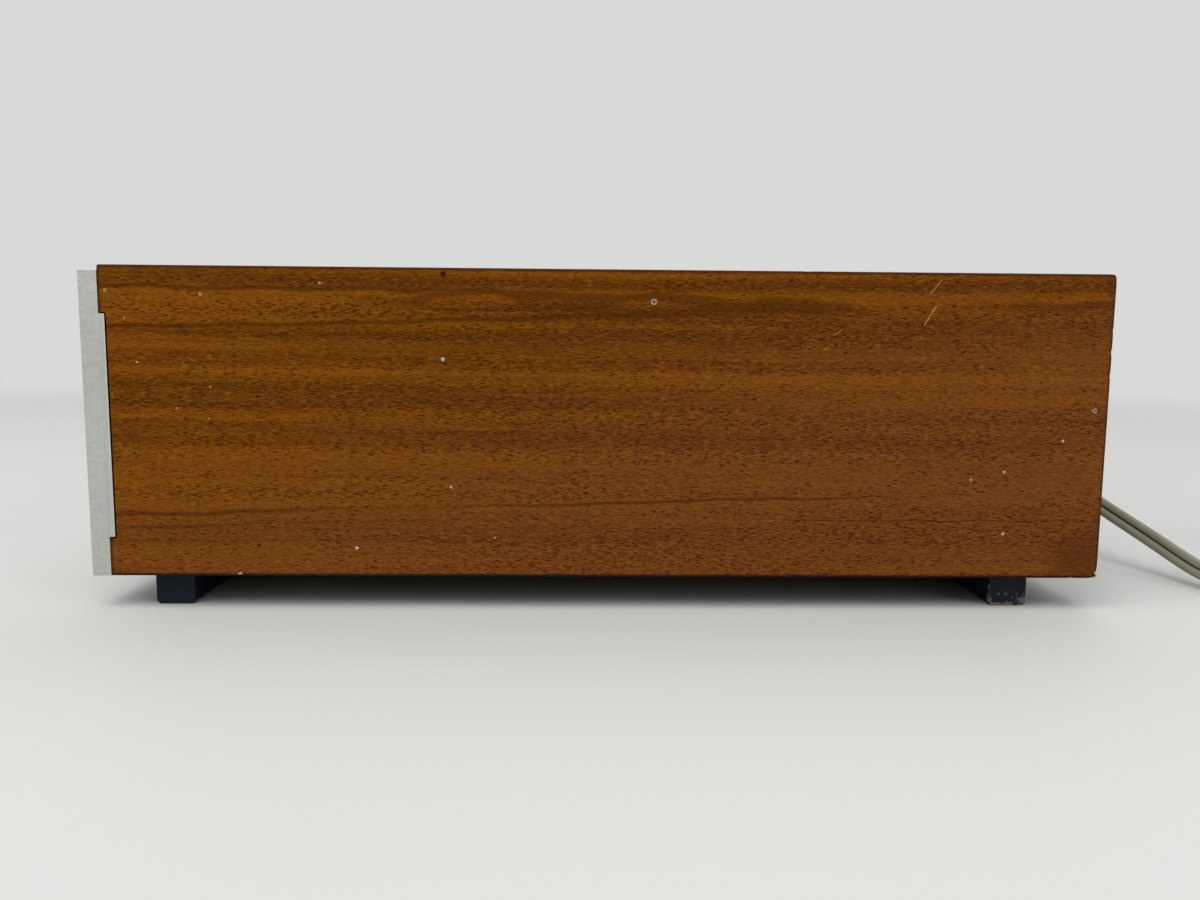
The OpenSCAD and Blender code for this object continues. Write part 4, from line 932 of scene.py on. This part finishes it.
def make_back():
    """Rear panel, vent plate, socket mouldings and fuse, then the screws and what the sockets hold."""
    enamel = baked_black("rear_enamel", (0.016, 0.0165, 0.0175), 0.50, 1500, 0.00012)
    vent = baked_black("vent_enamel", (0.018, 0.0185, 0.019), 0.52, 1500, 0.00012)
    plastic = baked_black("moulded_black", rough=0.36)
    zinc = plated_steel("zinc_screw", (0.60, 0.60, 0.57), 0.28)
    softened("rear_panel", 0.0003, enamel, sharp=50.0)
    softened("vent_grille", 0.0003, vent, sharp=50.0)
    for node in ("input_sockets", "speaker_sockets", "fuse_holder"):
        softened(node, 0.0003, plastic)
    softened("fuse_cap", 0.0004, plastic, "fuse_carrier")
    make_screws(zinc)
    make_sockets(zinc)


def make_screws(zinc):
    """Slotted screws: a row in the rear panel, and rows under the runners and the chassis."""
    lo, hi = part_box("rear_panel_screws")
    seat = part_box("rear_panel")[1].y
    radius = (hi.z - lo.z) / 2
    screws = []
    for x, turn in zip(np.linspace(lo.x + radius, hi.x - radius, 4), (0.4, 1.3, -0.7, 2.2)):
        screws += slotted_screw(x, (lo.z + hi.z) / 2, radius, hi.y, seat, lo.y, turn, "y")
    make_piece("rear_panel_fixings", joined(screws), zinc, stands_for=("rear_panel_screws",))
    for node, name, radius, across in (("foot_rail_screws", "rail_fixings", 0.0026, 3),
                                       ("chassis_bolts", "chassis_fixings", 0.0040, 2)):
        lo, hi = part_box(node)
        screws = []
        for x in np.linspace(lo.x + radius, hi.x - radius, across):
            for y in (lo.y + radius, hi.y - radius):
                screws += slotted_screw(x, y, radius, lo.z, lo.z + radius * 0.4, hi.z, 31 * x + 17 * y, "z")
        make_piece(name, joined(screws), zinc, stands_for=(node,))


def make_sockets(zinc):
    """Each socket's metal shell and contacts, with its number or letter: five contacts on a half circle at an
    input, and a sleeve and a blade at a speaker socket."""
    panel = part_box("rear_panel")[1].y
    shells, contacts, words = [], [], []
    for node, names, bore, degrees in (("input_sockets", "4321", 6.8, range(180, 361, 45)),
                                       ("speaker_sockets", "RL", 6.3, (0,))):
        lo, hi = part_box(node)
        z = (lo.z + hi.z) / 2
        mouth, floor = hi.y / MM, hi.y / MM - SOCKET_DEPTH
        ring = [(bore - 0.28, floor), (bore - 0.02, floor), (bore - 0.02, mouth - 0.9),
                (bore - 0.14, mouth - 0.7), (bore - 0.28, mouth - 0.9)]
        floor *= MM
        for x, name in zip(np.linspace(lo.x + SOCKET_R, hi.x - SOCKET_R, len(names)), names):
            words.append(word_shell(name, x, z + 0.0153, panel + PRINT_PROUD, 0.0042, -1))
            shells.append(tube(turned(np.array(ring) * MM, (x, 0, z), "y", 56), loop=True))
            for a in np.radians(degrees):
                at = (x + CONTACT_R * math.cos(a), 0, z + CONTACT_R * math.sin(a))
                contacts.append(tube(turned(SLEEVE * MM + [0, floor], at, "y", 16)))
            if node == "speaker_sockets":
                blade = box_outline(x - 0.0006, z - 0.0018, x + 0.0006, z + 0.0018, 0.0003, 3)
                contacts.append(tube(dished(blade, floor + 0.0001, floor - 0.0015, 0.0001, 0.0, "y", 2)))
    make_piece("socket_shells", joined(shells), zinc)
    silver = coated("silver_ink", (0.46, 0.46, 0.44), (0.62, 0.62, 0.60), 0.55, 900)
    make_piece("socket_print", joined(words), silver, sharp=30.0)
    brass = plated_steel("contact_brass", (0.72, 0.55, 0.26), 0.26)
    make_piece("socket_contacts", joined(contacts), brass)


def make_relief(sheath):
    """Strain relief: a head inside the panel, a neck through it, and a ribbed cone outside."""
    lo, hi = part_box("strain_relief")
    at = middle_of("strain_relief")
    panel_lo, panel_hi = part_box("rear_panel")
    inner, base, tip = panel_lo.y / MM, panel_hi.y / MM, hi.y / MM
    steps = np.linspace(base + 1.6, tip - 1.2, 25)
    taper = 5.75 - (steps - base) * 0.118
    ribs = np.stack([taper - 0.62 * (np.arange(25) % 4 > 1), steps], -1)
    head = lo.y / MM
    neck = [(0, head), (6.4, head), (6.5, inner - 0.1), (4.6, inner), (4.6, base), (5.7, base)]
    rows = np.vstack([neck, ribs, [(3.35, tip - 0.6), (3.1, tip - 0.1), (2.85, tip), (0, tip)]])
    return make_piece("relief_boot", tube(turned(rows * MM, (at.x, 0, at.z), "y", 48)), sheath,
                      sharp=50.0, stands_for=("strain_relief",))


def make_band():
    """The band round the coil: a flat strip in a loop, with a clasp on top."""
    lo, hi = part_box("cord_tie")
    loop = dense(box_outline(lo.x, lo.z, hi.x, hi.z, 0.0024, 8), 0.001)
    section = box_outline(0.0, lo.y, 0.0007, hi.y, 0.0002, 3)
    ring = loop[None] - outward(loop)[None] * section[:, None, :1]
    band = placed(ring[..., 0], ring[..., 1], section[:, 1:], "y")
    x = middle_of("cord_tie").x
    plate = box_outline(x - 0.004, lo.y - 0.0006, x + 0.004, hi.y + 0.0006, 0.0009)
    clasp = dished(plate, hi.z + 0.0022, hi.z - 0.0003, 0.0006, 0.0003, "z")
    black = baked_black("tie_black", (0.012, 0.012, 0.013), 0.5)
    return make_piece("coil_band", joined([tube(band, loop=True), tube(clasp)]), black,
                      stands_for=("cord_tie",))


def make_plug():
    """Flat plug: a waisted body with grip ribs, and two round pins in their sleeves."""
    lo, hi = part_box("mains_plug")
    y = (lo.y + hi.y) / 2
    nose, neck = lo.x + 0.019, hi.x
    half = [(neck, 0.006), (neck - 0.006, 0.006), (neck - 0.017, 0.0175), (nose, 0.0175)]
    corners = [(x, y + w) for x, w in half] + [(x, y - w) for x, w in half[::-1]]
    outline = dense(rounded(corners, np.array([2.6, 5, 9, 4, 4, 9, 5, 2.6]) * MM, 9), 0.002)
    parts = [tube(slab(outline, lo.z, hi.z, 0.0024, "z", 0.0, 6)[0])]
    for x in np.linspace(nose + 0.005, nose + 0.017, 5):
        grip = box_outline(x - 0.0007, y - 0.0085, x + 0.0007, y + 0.0085, 0.00065)
        parts.append(tube(dished(grip, hi.z + 0.0004, hi.z - 0.0006, 0.0003, 0.0, "z")))
    root, tip = nose / MM + 2, lo.x / MM
    stem = [(0, root), (2.0, root), (2.0, tip + 1.6), (1.75, tip + 0.7), (1.1, tip + 0.1), (0, tip)]
    cover = [(0, root), (2.12, root), (2.12, root - 11.6), (2.0, root - 12), (0, root - 12)]
    pins = []
    for side in (-1, 1):
        at = (0, y + side * 0.0093, (lo.z + hi.z) / 2)
        pins.append(tube(turned(np.array(stem) * MM, at, "x", 28)))
        parts.append(tube(turned(np.array(cover) * MM, at, "x", 28)))
    black = baked_black("plug_black", (0.014, 0.014, 0.015), 0.4)
    nickel = plated_steel("pin_nickel", (0.66, 0.63, 0.56), 0.22)
    return [make_piece("plug_body", joined(parts), black, stands_for=("mains_plug",)),
            make_piece("plug_pins", joined(pins), nickel)]


def coated(name, low, high, rough=0.5, scale=120, depth=0.00005, stretch=(1, 1, 1)):
    """Two-tone coat: soft clouds between two colours, darker blotches and a fine grain."""
    f = Finish(name, specular_ior_level=0.4)
    cloud = f.noise([scale * s for s in stretch], 4, 0.65)
    grain = f.noise([9 * scale * s for s in stretch], 2, 0.5)
    blotch = f.step(f.noise(0.35 * scale, 3, 0.6), 0.58, 0.70)
    color = f.mix(cloud * 0.75 + grain * 0.25, low, high)
    color = f.mix(blotch * 0.30, color, shade(low, 0.4))
    return f.done(color, rough + (grain - 0.5) * 0.2 + blotch * 0.1, grain, depth)


def speckled(name):
    """Mixed small parts: each cell of a scatter takes its own muted colour."""
    f = Finish(name, specular_ior_level=0.45)
    pick = f.cells(55, out="Color")
    grain = f.noise(900, 2)
    color = f.mix(0.55, (0.20, 0.12, 0.055), pick, "OVERLAY")
    color = f.mix(grain * 0.3, color, (0.03, 0.02, 0.015))
    return f.done(color, 0.42 + grain * 0.2, grain, 0.00005)


def dress_inside():
    """Finishes for the solids that stay as they are, by their slot."""
    finishes = {
        "zinc_steel": plated_steel("zinc_sheet", (0.56, 0.56, 0.53), 0.34),
        "control_metal": plated_steel("control_can", (0.60, 0.55, 0.44), 0.32),
        "core_iron": coated("core_laminations", (0.030, 0.028, 0.026), (0.085, 0.080, 0.075),
                            0.5, 60, 0.00008, (1, 1, 22)),
        "winding_tape": coated("winding_tape", (0.42, 0.27, 0.060), (0.60, 0.43, 0.125),
                               0.45, 70, 0.00006, (1, 1, 9)),
        "can_sleeve": coated("can_sleeve", (0.010, 0.025, 0.075), (0.018, 0.042, 0.120), 0.3, 80),
        "circuit_laminate": coated("circuit_laminate", (0.155, 0.080, 0.026), (0.235, 0.130, 0.046),
                                   0.42, 150, 0.00004, (1, 6, 1)),
        "small_parts": speckled("board_parts"),
        "sink_aluminium": plated_steel("sink_aluminium", (0.50, 0.51, 0.52), 0.42),
        "black_plastic": baked_black("switch_black"),
        "lamp_holder": coated("lamp_ivory", (0.55, 0.50, 0.38), (0.68, 0.63, 0.50), 0.45, 160),
    }
    for row in frame["record"]["subparts"]:
        node = frame["nodes"][row["node"]]
        finish = finishes.get(row["material_slot"])
        for slot in node.material_slots:
            slot.material = finish or slot.material


def make_floor():
    """A pale round floor that fades into the even pale surround."""
    outline = circle(0, 0, 6, 96)
    points = placed(outline[:, 0], outline[:, 1], 0.0, "z")
    mesh = bpy.data.meshes.new("floor")
    mesh.from_pydata(points.tolist(), [], [list(range(len(points)))])
    f = Finish("pale_floor", roughness=0.55, specular_ior_level=0.25)
    x, y = f.parts()[:2]
    f.wear(base_color=f.mix(f.noise(5, 3), FLOOR_COLOR, shade(FLOOR_COLOR, 0.97)))
    glow = f.node("ShaderNodeEmission", None, {"Color": SURROUND, "Strength": 1.0}, "Emission")
    lit = Field(f.tree, f.shader.outputs[0])
    blend = f.node("ShaderNodeMixShader", None, {0: f.step(apart(x, y), 0.45, 1.30), 1: lit, 2: glow})
    f.tree.links.new(blend.socket, f.tree.nodes["Material Output"].inputs["Surface"])
    mesh.materials.append(f.material)
    floor = bpy.data.objects.new("floor", mesh)
    bpy.context.scene.collection.objects.link(floor)


def make_sky():
    """An even sky: the surround where it is seen, mirrored or seen through a piece, and dimmer as a light."""
    world = bpy.data.worlds.new("surround")
    world.use_nodes = True
    bpy.context.scene.world = world
    sky = Nodes(world.node_tree)
    rays = ("Is Camera Ray", "Is Glossy Ray", "Is Transmission Ray")
    seen = most_of(sky.node("ShaderNodeLightPath", out=ray) for ray in rays)
    feed(sky.tree, sky.tree.nodes["Background"].inputs["Color"], sky.mix(seen, SKY_LIGHT, SURROUND))


def make_lamps():
    """Four soft round lamps that aim at the middle of the amplifier."""
    for name, at, size, watts in LAMPS:
        data = bpy.data.lights.new(name, "AREA")
        data.shape = "DISK"
        data.size = size
        data.energy = watts
        lamp = bpy.data.objects.new(name, data)
        aim = Vector((0.0, 0.0, 0.04)) - Vector(at)
        lamp.location = at
        lamp.rotation_mode = "QUATERNION"
        lamp.rotation_quaternion = aim.to_track_quat("-Z", "Y")
        bpy.context.scene.collection.objects.link(lamp)


set_camera()
sheath = flex_sheath("flex_grey")
flex, flex_line = make_cord(sheath)
cord_ends = [make_relief(sheath), make_band(), *make_plug()]
make_boards()
make_front()
make_back()
dress_inside()
make_floor()
make_sky()
make_lamps()
bpy.context.scene.view_settings.view_transform = "Standard"
